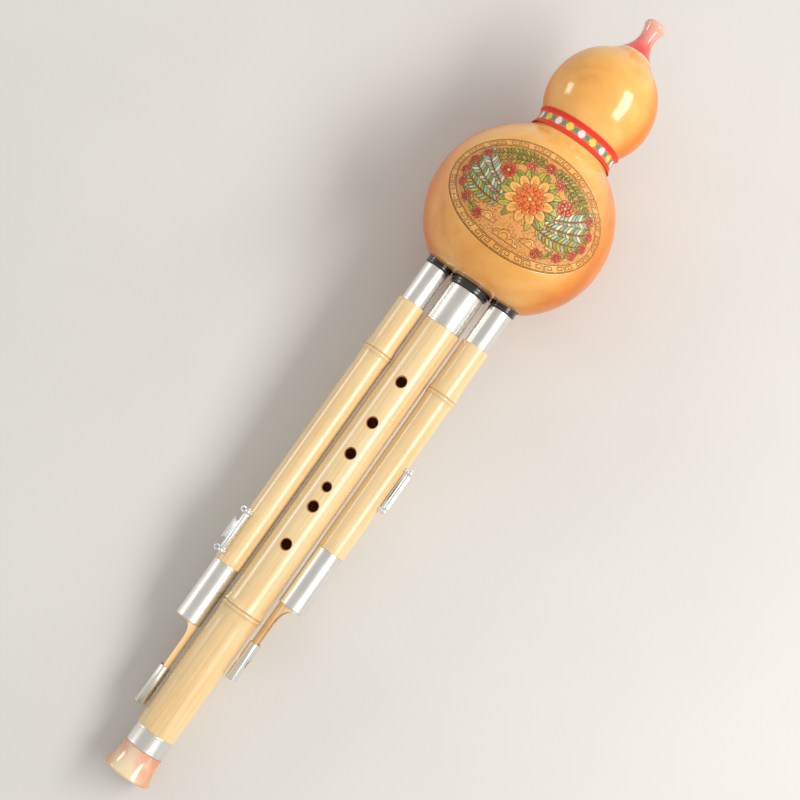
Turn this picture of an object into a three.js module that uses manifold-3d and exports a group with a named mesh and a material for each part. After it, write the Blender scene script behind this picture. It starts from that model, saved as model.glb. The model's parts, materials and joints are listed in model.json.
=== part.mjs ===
import * as THREE from 'three';
import { mergeVertices } from 'three/addons/utils/BufferGeometryUtils.js';
import Module from 'manifold-3d';

// A hulusi: a gourd wind chamber with a melody pipe between two drone pipes, each pulled into a socket.
// It is built along its own axis, from the bell's mouth at 0 to the mouthpiece along +Y, with the finger
// holes facing +Z and the right-hand drone at +X. The whole instrument is then laid on its back.
// All lengths are in millimetres.

const wasm = await Module();
wasm.setup();

// Fits
const fit = 0.3;
const overrun = 3;

// Facets of each round form
const gourdFacets = 32;
const mainFacets = 24;
const droneFacets = 18;
const tubeFacets = 16;
const holeFacets = 12;
const tinyFacets = 8;
const ballRings = 4;
const wireFacets = 4;
const cutSteps = 6;
const ovalSteps = 8;
const leafSteps = 5;
const wallSteps = 3;

// Bell
const bellLength = 15;
const bellMouthRadius = 13;
const bellTopRadius = 10.7;
const bellRimRound = 1.3;
const bellWall = 1.9;
const bellSpigotLength = 9;
const bellThroatRadius = 5.2;

// Main pipe
const mainVisibleLength = 244.3;
const mainLowRadius = 10.85;
const mainHighRadius = 10.4;
const mainBoreRadius = 6.75;
const mainNodePlace = 73.1;
const mainNodeHeight = 0.8;
const nodeReach = 7.5;
const ferruleWall = 0.35;
const ferruleChamfer = 0.2;
const mainLowerFerruleLength = 10;
const mainLowerFerruleRadius = 10.5;
const mainUpperFerruleLength = 21.6;
const mainUpperFerruleRadius = 10.15;

// Finger holes. The shares are of the bare bamboo's length, down from the upper ferrule.
const fingerHoleRadius = 2.8;
const smallFingerHoleRadius = 2.35;
const outletHoleRadius = 2.4;
const fingerHoleShares = [0.142, 0.243, 0.319, 0.449, 0.542];
const smallFingerHoleShare = 0.4015;
const thumbHoleShare = 0.078;
const outletHoleShares = [0.837, 0.894];

// Drone pipes
const droneOffset = 19.3;
const droneTopAboveMain = 1.5;
const droneHighRadius = 7.65;
const droneLowRadius = 7.45;
const droneBoreRadius = 4.6;
const droneTurnedRadius = 6.6;
const droneNodeBelowFerrule = 29.5;
const droneNodeHeight = 0.6;
const droneUpperFerruleLength = 21.7;
const droneUpperFerruleRadius = 6.75;
const droneLowerFerruleRadius = 7.25;
const tailFerruleLength = 21.3;
const tailFerruleDepth = 6.1;
const tailFerruleHeight = 8.8;
const tasselHoleRadius = 2.6;

// What differs between the drones. The shares are of the bare bamboo's length, up from the bell's band.
const leftTailEndShare = 0.0299;
const leftFerruleLowShare = 0.2202;
const leftFerruleHighShare = 0.3549;
const leftStripThickness = 2.8;
const leftCutRoundWidth = 4;
const leftCutRoundHeight = 9;
const leftKeyShare = 0.4196;
const leftRodAngle = 60;
const rightTailEndShare = 0.1723;
const rightFerruleLowShare = 0.3578;
const rightFerruleHighShare = 0.4949;
const rightStripThickness = 3.6;
const rightCutRoundWidth = 8.6;
const rightCutRoundHeight = 12;
const rightKeyShare = 0.6713;
const rightRodAngle = 22;

// Sockets
const mainCollarRadius = 10.8;
const mainCollarHeight = 1.9;
const mainFlangeRadius = 11.4;
const mainFlangeHeight = 1.8;
const mainSocketWall = 1.6;
const droneSocketWall = 0.8;
const socketDepth = 13;
const droneCollarLowRadius = 7.2;
const droneCollarHighRadius = 7.45;
const droneCollarHeight = 5.4;

// Reed tubes. The tenon fills the socket and the reed stands in the wind chamber.
const mainTenonRadius = 8.4;
const droneTenonRadius = 5.1;
const tenonLength = 15;
const spigotLength = 12;
const mainReedTubeRadius = 6.2;
const mainReedTubeBore = 4.2;
const mainReedSection = 30;
const droneReedTubeRadius = 4.3;
const droneReedTubeBore = 2.7;
const droneReedSection = 24;
const sealThickness = 1.4;
const plugCapHeight = 2;
const plugSpigotLength = 4;

// Reeds: a brass plate over a window, with a triangular tongue cut free on two sides
const reedThickness = 0.5;
const reedSlit = 0.3;
const mainReedWidth = 6;
const mainReedLength = 23;
const mainTongueWidth = 3.2;
const mainTongueLength = 16;
const droneReedWidth = 4.4;
const droneReedLength = 18;
const droneTongueWidth = 2.3;
const droneTongueLength = 12;
const tongueTipWidth = 0.6;

// Gourd
const lowerBulbRadius = 48.4;
const baseFlattening = 7.4;
const seatRadius = 19.5;
const baseRoundShare = 0.65;
const waistRadius = 21.4;
const waistRound = 9;
const upperBulbRadius = 28.6;
const crownHeight = 31.1;
const neckStartRadius = 14;
const neckRadius = 8.3;
const neckHeight = 5.1;
const neckHoleRadius = 5.5;
const neckCornerShares = [0.6, 0.53];
const gourdWall = 3.5;
const gourdBase = 6;
const restFacetAngle = 10;

// Ribbon round the waist
const ribbonHeight = 9.6;
const ribbonThickness = 0.9;

// Mouthpiece
const mouthpieceLength = 19.6;
const mouthpieceSeatRadius = 8.3;
const mouthpieceNeckRadius = 4.7;
const mouthpieceNeckPlace = 9.5;
const mouthpieceBendPlace = 5;
const mouthpieceFlareRadius = 6;
const mouthpieceFlarePlace = 15.4;
const mouthpieceTipRound = 3.2;
const mouthpieceBore = 2.4;
const mouthpieceTenonLength = 9;

// Drone keys
const keyMountThickness = 0.7;
const keyMountLength = 25.4;
const keyPostSpacing = 22.8;
const keyPostRadius = 0.9;
const keyBallRadius = 1.6;
const keyRodRadius = 0.6;
const keyRodHeight = 2.9;
const keyRodLength = 26.6;
const keyBarrelRadius = 1.45;
const keySpread = 36;
const keyRingRadius = 1.25;
const keyRingWire = 0.45;
const keyRingHeight = 1.9;
const toneHoleRadius = 2.2;
const seatRingWidth = 0.7;
const seatRingHeight = 0.5;
const cupRadius = 3.9;
const cupWall = 0.6;
const cupHeight = 1.9;
const leafLength = 18;
const leafWidth = 9;
const leafThickness = 0.8;
const armWidth = 6;
const padThickness = 1.2;

// Stations worked out from the sizes above
const mainPipeLow = bellLength + fit;
const mainBambooLow = bellLength + mainLowerFerruleLength;
const mainBambooHigh = mainBambooLow + mainVisibleLength;
const mainTop = mainBambooHigh + mainUpperFerruleLength;
const seatStation = mainTop + fit + mainCollarHeight + mainFlangeHeight + fit;
const droneTop = mainTop + droneTopAboveMain;
const droneBambooHigh = droneTop - droneUpperFerruleLength;
const droneSeatStation = droneTop + fit + droneCollarHeight + fit;
const lowerBulbStation = seatStation + lowerBulbRadius - baseFlattening;
const waistStation = lowerBulbStation + legOf(lowerBulbRadius + waistRound, waistRadius + waistRound);
const upperBulbStation = waistStation + legOf(upperBulbRadius + waistRound, waistRadius + waistRound);
const neckStartStation = upperBulbStation + crownHeight * legShare(neckStartRadius / upperBulbRadius);
const neckStation = neckStartStation + neckHeight;

// The instrument lies on the lower bulb and on the bell's rim, so its axis rises towards the gourd
const bulbRestDistance = lowerBulbRadius * Math.cos(radians(restFacetAngle) / 2);
const bellToBulb = lowerBulbStation - bellRimRound;
const incline = Math.asin(bulbRestDistance / Math.hypot(bellToBulb, bellMouthRadius))
  - Math.atan2(bellMouthRadius, bellToBulb);

// Finishes
const bamboo = new THREE.MeshStandardMaterial({ color: 0xe6bd7c, roughness: 0.35, metalness: 0 });
const gourdSkin = new THREE.MeshStandardMaterial({ color: 0xe39a4a, roughness: 0.25, metalness: 0 });
const silver = new THREE.MeshStandardMaterial({ color: 0xc9c9c6, roughness: 0.2, metalness: 1 });
const chrome = new THREE.MeshStandardMaterial({ color: 0xe2e4e6, roughness: 0.12, metalness: 1 });
const blackGloss = new THREE.MeshStandardMaterial({ color: 0x14161a, roughness: 0.15, metalness: 0 });
const creamResin = new THREE.MeshStandardMaterial({ color: 0xf0d2b0, roughness: 0.15, metalness: 0 });
const redResin = new THREE.MeshStandardMaterial({ color: 0xd8404a, roughness: 0.15, metalness: 0 });
const wovenTrim = new THREE.MeshStandardMaterial({ color: 0xc8202c, roughness: 0.85, metalness: 0 });
const tubeResin = new THREE.MeshStandardMaterial({ color: 0x3a2a20, roughness: 0.4, metalness: 0 });
const reedBrass = new THREE.MeshStandardMaterial({ color: 0xc9a24a, roughness: 0.3, metalness: 1 });
const rubber = new THREE.MeshStandardMaterial({ color: 0x202020, roughness: 0.8, metalness: 0 });
const padLeather = new THREE.MeshStandardMaterial({ color: 0xf0e6d2, roughness: 0.7, metalness: 0 });

// Small sums

function radians(degrees) {
  return THREE.MathUtils.degToRad(degrees);
}

// The other leg of a right triangle
function legOf(hypotenuse, leg) {
  return Math.sqrt(hypotenuse * hypotenuse - leg * leg);
}

function legShare(share) {
  return Math.sqrt(1 - share * share);
}

// A faceted round form that encloses the true one has its corners this much further out
function enclosing(facets) {
  return 1 / Math.cos(Math.PI / facets);
}

function point(radius, station) {
  return new THREE.Vector2(radius, station);
}

// Points of a circle's arc, in radius and station, with the angle measured from the radius direction
function arc(centre, radius, startAngle, endAngle, steps) {
  const points = [];
  for (let i = 0; i <= steps; i++) {
    const angle = THREE.MathUtils.lerp(startAngle, endAngle, i / steps);
    points.push(point(centre.x + radius * Math.cos(angle), centre.y + radius * Math.sin(angle)));
  }
  return points;
}

// Points of a smooth bend between two points, without its ends
function bend(start, corner, end, steps) {
  const curve = new THREE.QuadraticBezierCurve(start, corner, end);
  return curve.getPoints(steps).slice(1, -1);
}

// Solids

// A form turned round the Y axis. The outline runs up the outside and closes on itself or on the axis.
function revolve(outline, facets) {
  return new THREE.LatheGeometry(outline, facets, Math.PI / facets);
}

function closedRevolve(outline, facets) {
  return revolve([...outline, outline[0].clone()], facets);
}

function toSolid(geometry) {
  const bare = geometry.clone();
  bare.deleteAttribute('normal');
  bare.deleteAttribute('uv');
  const merged = mergeVertices(bare);
  const corners = [];
  const index = merged.index.array;
  for (let i = 0; i < index.length; i += 3) {
    const [a, b, c] = [index[i], index[i + 1], index[i + 2]];
    if (a !== b && b !== c && c !== a) corners.push(a, b, c);
  }
  const vertProperties = new Float32Array(merged.attributes.position.array);
  const triVerts = new Uint32Array(corners);
  return new wasm.Manifold(new wasm.Mesh({ numProp: 3, vertProperties, triVerts }));
}

function toGeometry(solid) {
  const mesh = solid.getMesh();
  const geometry = new THREE.BufferGeometry();
  geometry.setAttribute('position', new THREE.BufferAttribute(mesh.vertProperties, 3));
  geometry.setIndex(new THREE.BufferAttribute(mesh.triVerts, 1));
  geometry.computeVertexNormals();
  return geometry;
}

function joined(geometries) {
  return geometries.map(toSolid).reduce((whole, solid) => whole.add(solid));
}

function cut(solid, cutters) {
  return cutters.map(toSolid).reduce((rest, cutter) => rest.subtract(cutter), solid);
}

function piece(name, geometry, material) {
  const mesh = new THREE.Mesh(geometry, material);
  mesh.name = name;
  return mesh;
}

// A round cutter or pin between two distances from the Y axis, along +Z unless turned
function radialCylinder(radius, from, to, station, facets = holeFacets) {
  const geometry = new THREE.CylinderGeometry(radius, radius, to - from, facets);
  geometry.rotateX(Math.PI / 2);
  return geometry.translate(0, station, (from + to) / 2);
}

// A round cutter along the Y axis between two stations
function drill(radius, low, high, facets) {
  const geometry = new THREE.CylinderGeometry(radius, radius, high - low, facets);
  return geometry.translate(0, (low + high) / 2, 0);
}

// Metal bands

function ferrule(radius, low, high, facets) {
  const inner = radius - ferruleWall;
  return closedRevolve([
    point(inner, low),
    point(radius - ferruleChamfer, low),
    point(radius, low + ferruleChamfer),
    point(radius, high - ferruleChamfer),
    point(radius - ferruleChamfer, high),
    point(inner, high),
  ], facets);
}

// Bamboo

// The swelling of a bamboo node, as shares of its reach and of its height
const nodeShares = [[-1, 0], [-0.12, 1], [0, 0.72], [0.12, 0.95], [0.5, 0.3], [1, 0]];

function bambooRadius(low, high, lowRadius, highRadius, station) {
  return THREE.MathUtils.mapLinear(station, low, high, lowRadius, highRadius);
}

function bambooOutline(low, high, lowRadius, highRadius, nodeStation, nodeHeight) {
  const radiusAt = (station) => bambooRadius(low, high, lowRadius, highRadius, station);
  const swelling = nodeShares.map(([along, out]) => {
    const station = nodeStation + along * nodeReach;
    return point(radiusAt(station) + out * nodeHeight, station);
  });
  return [point(lowRadius, low), ...swelling, point(highRadius, high)];
}

// Main pipe

function mainPipe() {
  const lowTurned = mainLowerFerruleRadius - ferruleWall - fit;
  const highTurned = mainUpperFerruleRadius - ferruleWall - fit;
  const low = mainBambooLow + fit;
  const high = mainBambooHigh - fit;
  const nodeStation = mainBambooLow + mainNodePlace;
  const body = toSolid(closedRevolve([
    point(mainBoreRadius, mainPipeLow),
    point(lowTurned, mainPipeLow),
    point(lowTurned, low),
    ...bambooOutline(low, high, mainLowRadius, mainHighRadius, nodeStation, mainNodeHeight),
    point(highTurned, high),
    point(highTurned, mainTop),
    point(mainBoreRadius, mainTop),
  ], mainFacets));
  const outside = mainLowRadius + overrun;
  const stationAt = (share) => mainBambooHigh - share * mainVisibleLength;
  const front = (radius, share) => radialCylinder(radius, 0, outside, stationAt(share));
  const back = (radius, share) => radialCylinder(radius, -outside, 0, stationAt(share));
  return cut(body, [
    ...fingerHoleShares.map((share) => front(fingerHoleRadius, share)),
    front(smallFingerHoleRadius, smallFingerHoleShare),
    back(fingerHoleRadius, thumbHoleShare),
    ...outletHoleShares.map((share) => back(outletHoleRadius, share)),
  ]);
}

function bellEnd() {
  const widest = bellMouthRadius * enclosing(mainFacets);
  const flare = (share) => bellTopRadius + (widest - bellTopRadius) * (1 - share) ** 2;
  const rim = arc(point(widest - bellRimRound, bellRimRound), bellRimRound, -Math.PI / 2, 0, 2);
  const flareShares = [0.2, 0.45, 0.7, 1];
  const flareStation = (share) => THREE.MathUtils.lerp(bellRimRound, bellLength, share);
  const outer = flareShares.map((share) => point(flare(share), flareStation(share)));
  const innerShares = [1, 0.5, 0];
  const mouthInside = widest - bellWall;
  const inner = innerShares.map((share) => {
    const radius = bellThroatRadius + (mouthInside - bellThroatRadius) * (1 - share) ** 2;
    return point(radius, share * bellLength);
  });
  const spigot = mainBoreRadius - fit;
  const spigotTop = bellLength + bellSpigotLength;
  return closedRevolve([
    ...rim,
    ...outer,
    point(spigot, bellLength),
    point(spigot, spigotTop),
    point(bellThroatRadius, spigotTop),
    ...inner,
  ], mainFacets);
}

// Sockets let into the gourd

function mainSocket() {
  const bore = mainTenonRadius + fit;
  const collarLow = mainTop + fit;
  const flangeLow = collarLow + mainCollarHeight;
  const flangeHigh = flangeLow + mainFlangeHeight;
  const sleeve = bore + mainSocketWall;
  return closedRevolve([
    point(bore, collarLow),
    point(mainCollarRadius, collarLow),
    point(mainCollarRadius, flangeLow),
    point(mainFlangeRadius, flangeLow),
    point(mainFlangeRadius, flangeHigh),
    point(sleeve, flangeHigh),
    point(sleeve, flangeHigh + socketDepth),
    point(bore, flangeHigh + socketDepth),
  ], mainFacets);
}

function droneSocket() {
  const bore = droneTenonRadius + fit;
  const collarLow = droneTop + fit;
  const collarHigh = collarLow + droneCollarHeight;
  const sleeve = bore + droneSocketWall;
  return closedRevolve([
    point(bore, collarLow),
    point(droneCollarLowRadius, collarLow),
    point(droneCollarHighRadius, collarHigh),
    point(sleeve, collarHigh),
    point(sleeve, collarHigh + socketDepth),
    point(bore, collarHigh + socketDepth),
  ], droneFacets);
}

// Reed assemblies. Each sits on the top of its pipe: a spigot in the pipe's bore, a tenon with a groove
// for its sealing ring, and a tube with a flat and a window for the reed.

function reedSizes(isMain) {
  return isMain
    ? {
      top: mainTop, pipeBore: mainBoreRadius, tenon: mainTenonRadius, radius: mainReedTubeRadius,
      bore: mainReedTubeBore, section: mainReedSection, width: mainReedWidth, length: mainReedLength,
      tongueWidth: mainTongueWidth, tongueLength: mainTongueLength,
    }
    : {
      top: droneTop, pipeBore: droneBoreRadius, tenon: droneTenonRadius, radius: droneReedTubeRadius,
      bore: droneReedTubeBore, section: droneReedSection, width: droneReedWidth, length: droneReedLength,
      tongueWidth: droneTongueWidth, tongueLength: droneTongueLength,
    };
}

function reedStations(sizes) {
  const tenonLow = sizes.top + fit;
  const tenonHigh = tenonLow + tenonLength;
  const tubeTop = tenonHigh + sizes.section;
  const groove = (tenonLow + tenonHigh) / 2;
  const reed = (tenonHigh + tubeTop) / 2;
  return { tenonLow, tenonHigh, tubeTop, groove, reed };
}

// The flat is as wide as the reed plate with its clearance
function reedFlat(sizes) {
  return legOf(sizes.radius, sizes.width / 2 + fit);
}

function reedTube(sizes) {
  const at = reedStations(sizes);
  const spigot = sizes.pipeBore - fit;
  const grooveHalf = sealThickness / 2 + fit;
  const grooveRadius = sizes.tenon - sealThickness - fit;
  const body = toSolid(closedRevolve([
    point(sizes.bore, sizes.top - spigotLength),
    point(spigot, sizes.top - spigotLength),
    point(spigot, at.tenonLow),
    point(sizes.tenon, at.tenonLow),
    point(sizes.tenon, at.groove - grooveHalf),
    point(grooveRadius, at.groove - grooveHalf),
    point(grooveRadius, at.groove + grooveHalf),
    point(sizes.tenon, at.groove + grooveHalf),
    point(sizes.tenon, at.tenonHigh),
    point(sizes.radius, at.tenonHigh),
    point(sizes.radius, at.tubeTop),
    point(sizes.bore, at.tubeTop),
  ], tubeFacets));
  const flat = reedFlat(sizes);
  const recess = new THREE.BoxGeometry(sizes.radius * 2 + overrun, sizes.length + fit * 2, overrun);
  recess.translate(0, at.reed, flat + overrun / 2);
  const windowHeight = sizes.tongueLength + reedSlit * 2;
  const window = new THREE.BoxGeometry(sizes.tongueWidth + reedSlit * 2, windowHeight, sizes.radius);
  window.translate(0, at.reed, sizes.radius / 2);
  return cut(body, [recess, window]);
}

// The slit runs up one side of the tongue, round its tip and down the other side
function reed(sizes) {
  const at = reedStations(sizes);
  const [halfWidth, halfLength] = [sizes.width / 2, sizes.length / 2];
  const root = -sizes.tongueLength / 2;
  const tip = sizes.tongueLength / 2;
  const plate = new THREE.Shape([
    point(-halfWidth, -halfLength),
    point(halfWidth, -halfLength),
    point(halfWidth, halfLength),
    point(-halfWidth, halfLength),
  ]);
  const [rootHalf, tipHalf] = [sizes.tongueWidth / 2, tongueTipWidth / 2];
  plate.holes.push(new THREE.Path([
    point(-rootHalf - reedSlit, root),
    point(-rootHalf, root),
    point(-tipHalf, tip),
    point(tipHalf, tip),
    point(rootHalf, root),
    point(rootHalf + reedSlit, root),
    point(tipHalf + reedSlit, tip + reedSlit),
    point(-tipHalf - reedSlit, tip + reedSlit),
  ]));
  const geometry = new THREE.ExtrudeGeometry(plate, { depth: reedThickness, bevelEnabled: false });
  return geometry.translate(0, at.reed, reedFlat(sizes) + fit);
}

function reedPlug(sizes) {
  const at = reedStations(sizes);
  const spigot = sizes.bore - fit;
  const capLow = at.tubeTop + fit;
  return revolve([
    point(0, at.tubeTop - plugSpigotLength),
    point(spigot, at.tubeTop - plugSpigotLength),
    point(spigot, capLow),
    point(sizes.radius, capLow),
    point(sizes.radius, capLow + plugCapHeight),
    point(0, capLow + plugCapHeight),
  ], tubeFacets);
}

function seal(sizes) {
  const at = reedStations(sizes);
  const half = sealThickness / 2;
  const outline = arc(point(sizes.tenon - half, at.groove), half, -Math.PI / 2, Math.PI * 3 / 2, 6);
  return revolve(outline, tubeFacets);
}

// Drone pipes. Towards is +1 on the left drone and -1 on the right one: the side where the main pipe is.

function droneSizes(isLeft) {
  const stationAt = (share) => mainBambooLow + share * mainVisibleLength;
  return isLeft
    ? {
      name: 'left', towards: 1, tailEnd: stationAt(leftTailEndShare),
      ferruleLow: stationAt(leftFerruleLowShare), ferruleHigh: stationAt(leftFerruleHighShare),
      strip: leftStripThickness, roundWidth: leftCutRoundWidth, roundHeight: leftCutRoundHeight,
      keyPlace: stationAt(leftKeyShare), rodAngle: leftRodAngle,
    }
    : {
      name: 'right', towards: -1, tailEnd: stationAt(rightTailEndShare),
      ferruleLow: stationAt(rightFerruleLowShare), ferruleHigh: stationAt(rightFerruleHighShare),
      strip: rightStripThickness, roundWidth: rightCutRoundWidth, roundHeight: rightCutRoundHeight,
      keyPlace: stationAt(rightKeyShare), rodAngle: rightRodAngle,
    };
}

function droneRadiusAt(drone, station) {
  const low = drone.ferruleHigh + fit;
  return bambooRadius(low, droneBambooHigh - fit, droneLowRadius, droneHighRadius, station);
}

function stripLow(drone) {
  return drone.tailEnd + tailFerruleLength + fit;
}

// Below its ferrule the outer side of the tube is cut away, and a strip of the wall is left
function stripCutter(drone) {
  const stripEdge = droneTurnedRadius - drone.strip;
  const outside = -droneLowerFerruleRadius - overrun;
  const below = stripLow(drone) - overrun;
  const cutTop = drone.ferruleLow - fit;
  const side = drone.towards;
  const shape = new THREE.Shape();
  shape.moveTo(side * outside, below);
  shape.lineTo(side * stripEdge, below);
  shape.lineTo(side * stripEdge, cutTop - drone.roundHeight);
  shape.quadraticCurveTo(side * stripEdge, cutTop, side * (stripEdge - drone.roundWidth), cutTop);
  shape.lineTo(side * outside, cutTop);
  shape.closePath();
  const depth = 2 * (droneLowerFerruleRadius + overrun);
  const settings = { depth, bevelEnabled: false, curveSegments: cutSteps };
  return new THREE.ExtrudeGeometry(shape, settings).translate(0, 0, -depth / 2);
}

// The strip ends in an oval tail, which a metal band wraps. It just clears the main pipe's node.
function tailOval(drone, inset, low, high) {
  const reach = droneOffset - mainLowRadius - mainNodeHeight - fit;
  const middle = drone.towards * (reach - tailFerruleDepth / 2);
  const [depth, height] = [tailFerruleDepth / 2 - inset, tailFerruleHeight / 2 - inset];
  const shape = new THREE.Shape().absellipse(middle, 0, depth, height, 0, Math.PI * 2);
  const settings = { depth: high - low, bevelEnabled: false, curveSegments: ovalSteps };
  return new THREE.ExtrudeGeometry(shape, settings).rotateX(-Math.PI / 2).translate(0, low, 0);
}

function tasselHole(drone) {
  const reach = droneLowerFerruleRadius + overrun;
  const hole = new THREE.CylinderGeometry(tasselHoleRadius, tasselHoleRadius, 2 * reach, holeFacets);
  hole.rotateZ(Math.PI / 2);
  return hole.translate(0, drone.tailEnd + tailFerruleLength / 2, 0);
}

function dronePipe(drone) {
  const highTurned = droneUpperFerruleRadius - ferruleWall - fit;
  const low = drone.ferruleHigh + fit;
  const high = droneBambooHigh - fit;
  const nodeStation = droneBambooHigh - droneNodeBelowFerrule;
  const body = toSolid(closedRevolve([
    point(droneBoreRadius, stripLow(drone)),
    point(droneTurnedRadius, stripLow(drone)),
    point(droneTurnedRadius, low),
    ...bambooOutline(low, high, droneLowRadius, droneHighRadius, nodeStation, droneNodeHeight),
    point(highTurned, high),
    point(highTurned, droneTop),
    point(droneBoreRadius, droneTop),
  ], droneFacets));
  const toneHole = radialCylinder(toneHoleRadius, 0, droneHighRadius + overrun, drone.keyPlace);
  toneHole.rotateY(keyTurn(drone));
  const tail = tailOval(drone, ferruleWall + fit, drone.tailEnd, stripLow(drone) + fit);
  return cut(cut(body, [stripCutter(drone), toneHole]).add(toSolid(tail)), [tasselHole(drone)]);
}

function tailFerrule(drone) {
  const [low, high] = [drone.tailEnd, drone.tailEnd + tailFerruleLength];
  const cavity = tailOval(drone, ferruleWall, low - overrun, high + overrun);
  return cut(toSolid(tailOval(drone, 0, low, high)), [cavity, tasselHole(drone)]);
}

// Drone keys. Each is built with its cup over +Z and is then turned round the pipe to its place.
// The hinge rod lies beside the cup, on the side of the player's face.

function keyTurn(drone) {
  const cupAngle = drone.rodAngle - keySpread;
  return -drone.towards * radians(90 - cupAngle);
}

function keySizes(drone) {
  const pipeRadius = droneRadiusAt(drone, drone.keyPlace + keyMountLength / 2);
  const mountInner = pipeRadius + fit;
  const mountOuter = mountInner + keyMountThickness;
  const rodRadius = mountInner + keyRodHeight;
  const rodX = drone.towards * rodRadius * Math.sin(radians(keySpread));
  const rodZ = rodRadius * Math.cos(radians(keySpread));
  const seatTop = mountOuter + seatRingHeight;
  const padLow = seatTop + fit;
  const cupLow = padLow + fit;
  const cupTop = cupLow + cupHeight;
  return { mountInner, mountOuter, rodRadius, rodX, rodZ, seatTop, padLow, cupLow, cupTop };
}

// A part of a tube's wall between two angles, measured from +Z towards the rod, centred on a station
function wallSector(inner, outer, fromAngle, toAngle, length, towards) {
  const start = Math.PI / 2 - towards * fromAngle;
  const end = Math.PI / 2 - towards * toAngle;
  const shape = new THREE.Shape();
  shape.absarc(0, 0, outer, start, end, towards > 0);
  shape.absarc(0, 0, inner, end, start, towards < 0);
  shape.closePath();
  const settings = { depth: length, bevelEnabled: false, curveSegments: wallSteps };
  const geometry = new THREE.ExtrudeGeometry(shape, settings).rotateX(Math.PI / 2);
  return geometry.translate(0, length / 2, 0);
}

function keyMount(drone) {
  const key = keySizes(drone);
  const seatWidth = toneHoleRadius + seatRingWidth;
  const seatAngle = Math.asin((seatWidth + seatRingWidth) / key.mountInner);
  const rodAngle = radians(keySpread);
  const postAngle = Math.asin(keyPostRadius / key.mountInner);
  const saddle = wallSector(
    key.mountInner, key.mountOuter, -seatAngle, rodAngle + postAngle, keyMountLength, drone.towards,
  );
  const parts = [saddle, radialCylinder(seatWidth, key.mountInner + fit, key.seatTop, 0)];
  for (const end of [-1, 1]) {
    const station = end * keyPostSpacing / 2;
    const post = radialCylinder(keyPostRadius, key.mountInner + fit, key.rodRadius, station, tinyFacets);
    post.rotateY(drone.towards * rodAngle);
    const ball = new THREE.SphereGeometry(keyBallRadius, tinyFacets, ballRings);
    ball.translate(key.rodX, station, key.rodZ);
    const ring = new THREE.TorusGeometry(keyRingRadius, keyRingWire, wireFacets, tinyFacets);
    ring.rotateY(Math.PI / 2);
    ring.translate(0, station, key.mountInner + keyRingHeight);
    parts.push(post, ball, ring);
  }
  const toneHole = radialCylinder(toneHoleRadius, 0, key.cupTop, 0);
  const rodHole = new THREE.CylinderGeometry(
    keyRodRadius + fit, keyRodRadius + fit, keyRodLength + overrun, tinyFacets,
  );
  rodHole.translate(key.rodX, 0, key.rodZ);
  return cut(joined(parts), [toneHole, rodHole]);
}

function keyRod(drone) {
  const key = keySizes(drone);
  const rod = new THREE.CylinderGeometry(keyRodRadius, keyRodRadius, keyRodLength, tinyFacets);
  return rod.translate(key.rodX, 0, key.rodZ);
}

function leafOutline() {
  const shape = new THREE.Shape();
  shape.moveTo(0, -leafLength / 2);
  shape.quadraticCurveTo(leafWidth, 0, 0, leafLength / 2);
  shape.quadraticCurveTo(-leafWidth, 0, 0, -leafLength / 2);
  return shape;
}

function keyLever(drone) {
  const key = keySizes(drone);
  const barrelLength = keyPostSpacing - 2 * (keyBallRadius + fit);
  const barrel = new THREE.CylinderGeometry(keyBarrelRadius, keyBarrelRadius, barrelLength, tinyFacets);
  barrel.translate(key.rodX, 0, key.rodZ);
  const leafInner = key.cupTop - leafThickness;
  const reach = Math.asin(leafWidth / 2 / leafInner);
  const leafWall = toSolid(wallSector(leafInner, key.cupTop, -reach, reach, leafLength, drone.towards));
  const settings = { depth: key.cupTop + overrun, bevelEnabled: false, curveSegments: leafSteps };
  const leafPrism = new THREE.ExtrudeGeometry(leafOutline(), settings);
  const leaf = leafWall.intersect(toSolid(leafPrism));
  const rodAngle = radians(keySpread);
  const arm = wallSector(leafInner, key.cupTop, 0, rodAngle, armWidth, drone.towards);
  const cup = radialCylinder(cupRadius, key.cupLow, key.cupTop - leafThickness / 2, 0);
  const lever = joined([barrel, arm, cup]).add(leaf);
  const recess = radialCylinder(cupRadius - cupWall, 0, key.padLow + padThickness + fit, 0);
  const bore = new THREE.CylinderGeometry(
    keyRodRadius + fit, keyRodRadius + fit, barrelLength + overrun, tinyFacets,
  );
  bore.translate(key.rodX, 0, key.rodZ);
  return cut(lever, [recess, bore]);
}

function keyPad(drone) {
  const key = keySizes(drone);
  return radialCylinder(cupRadius - cupWall - fit, key.padLow, key.padLow + padThickness, 0);
}

// Gourd

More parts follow.
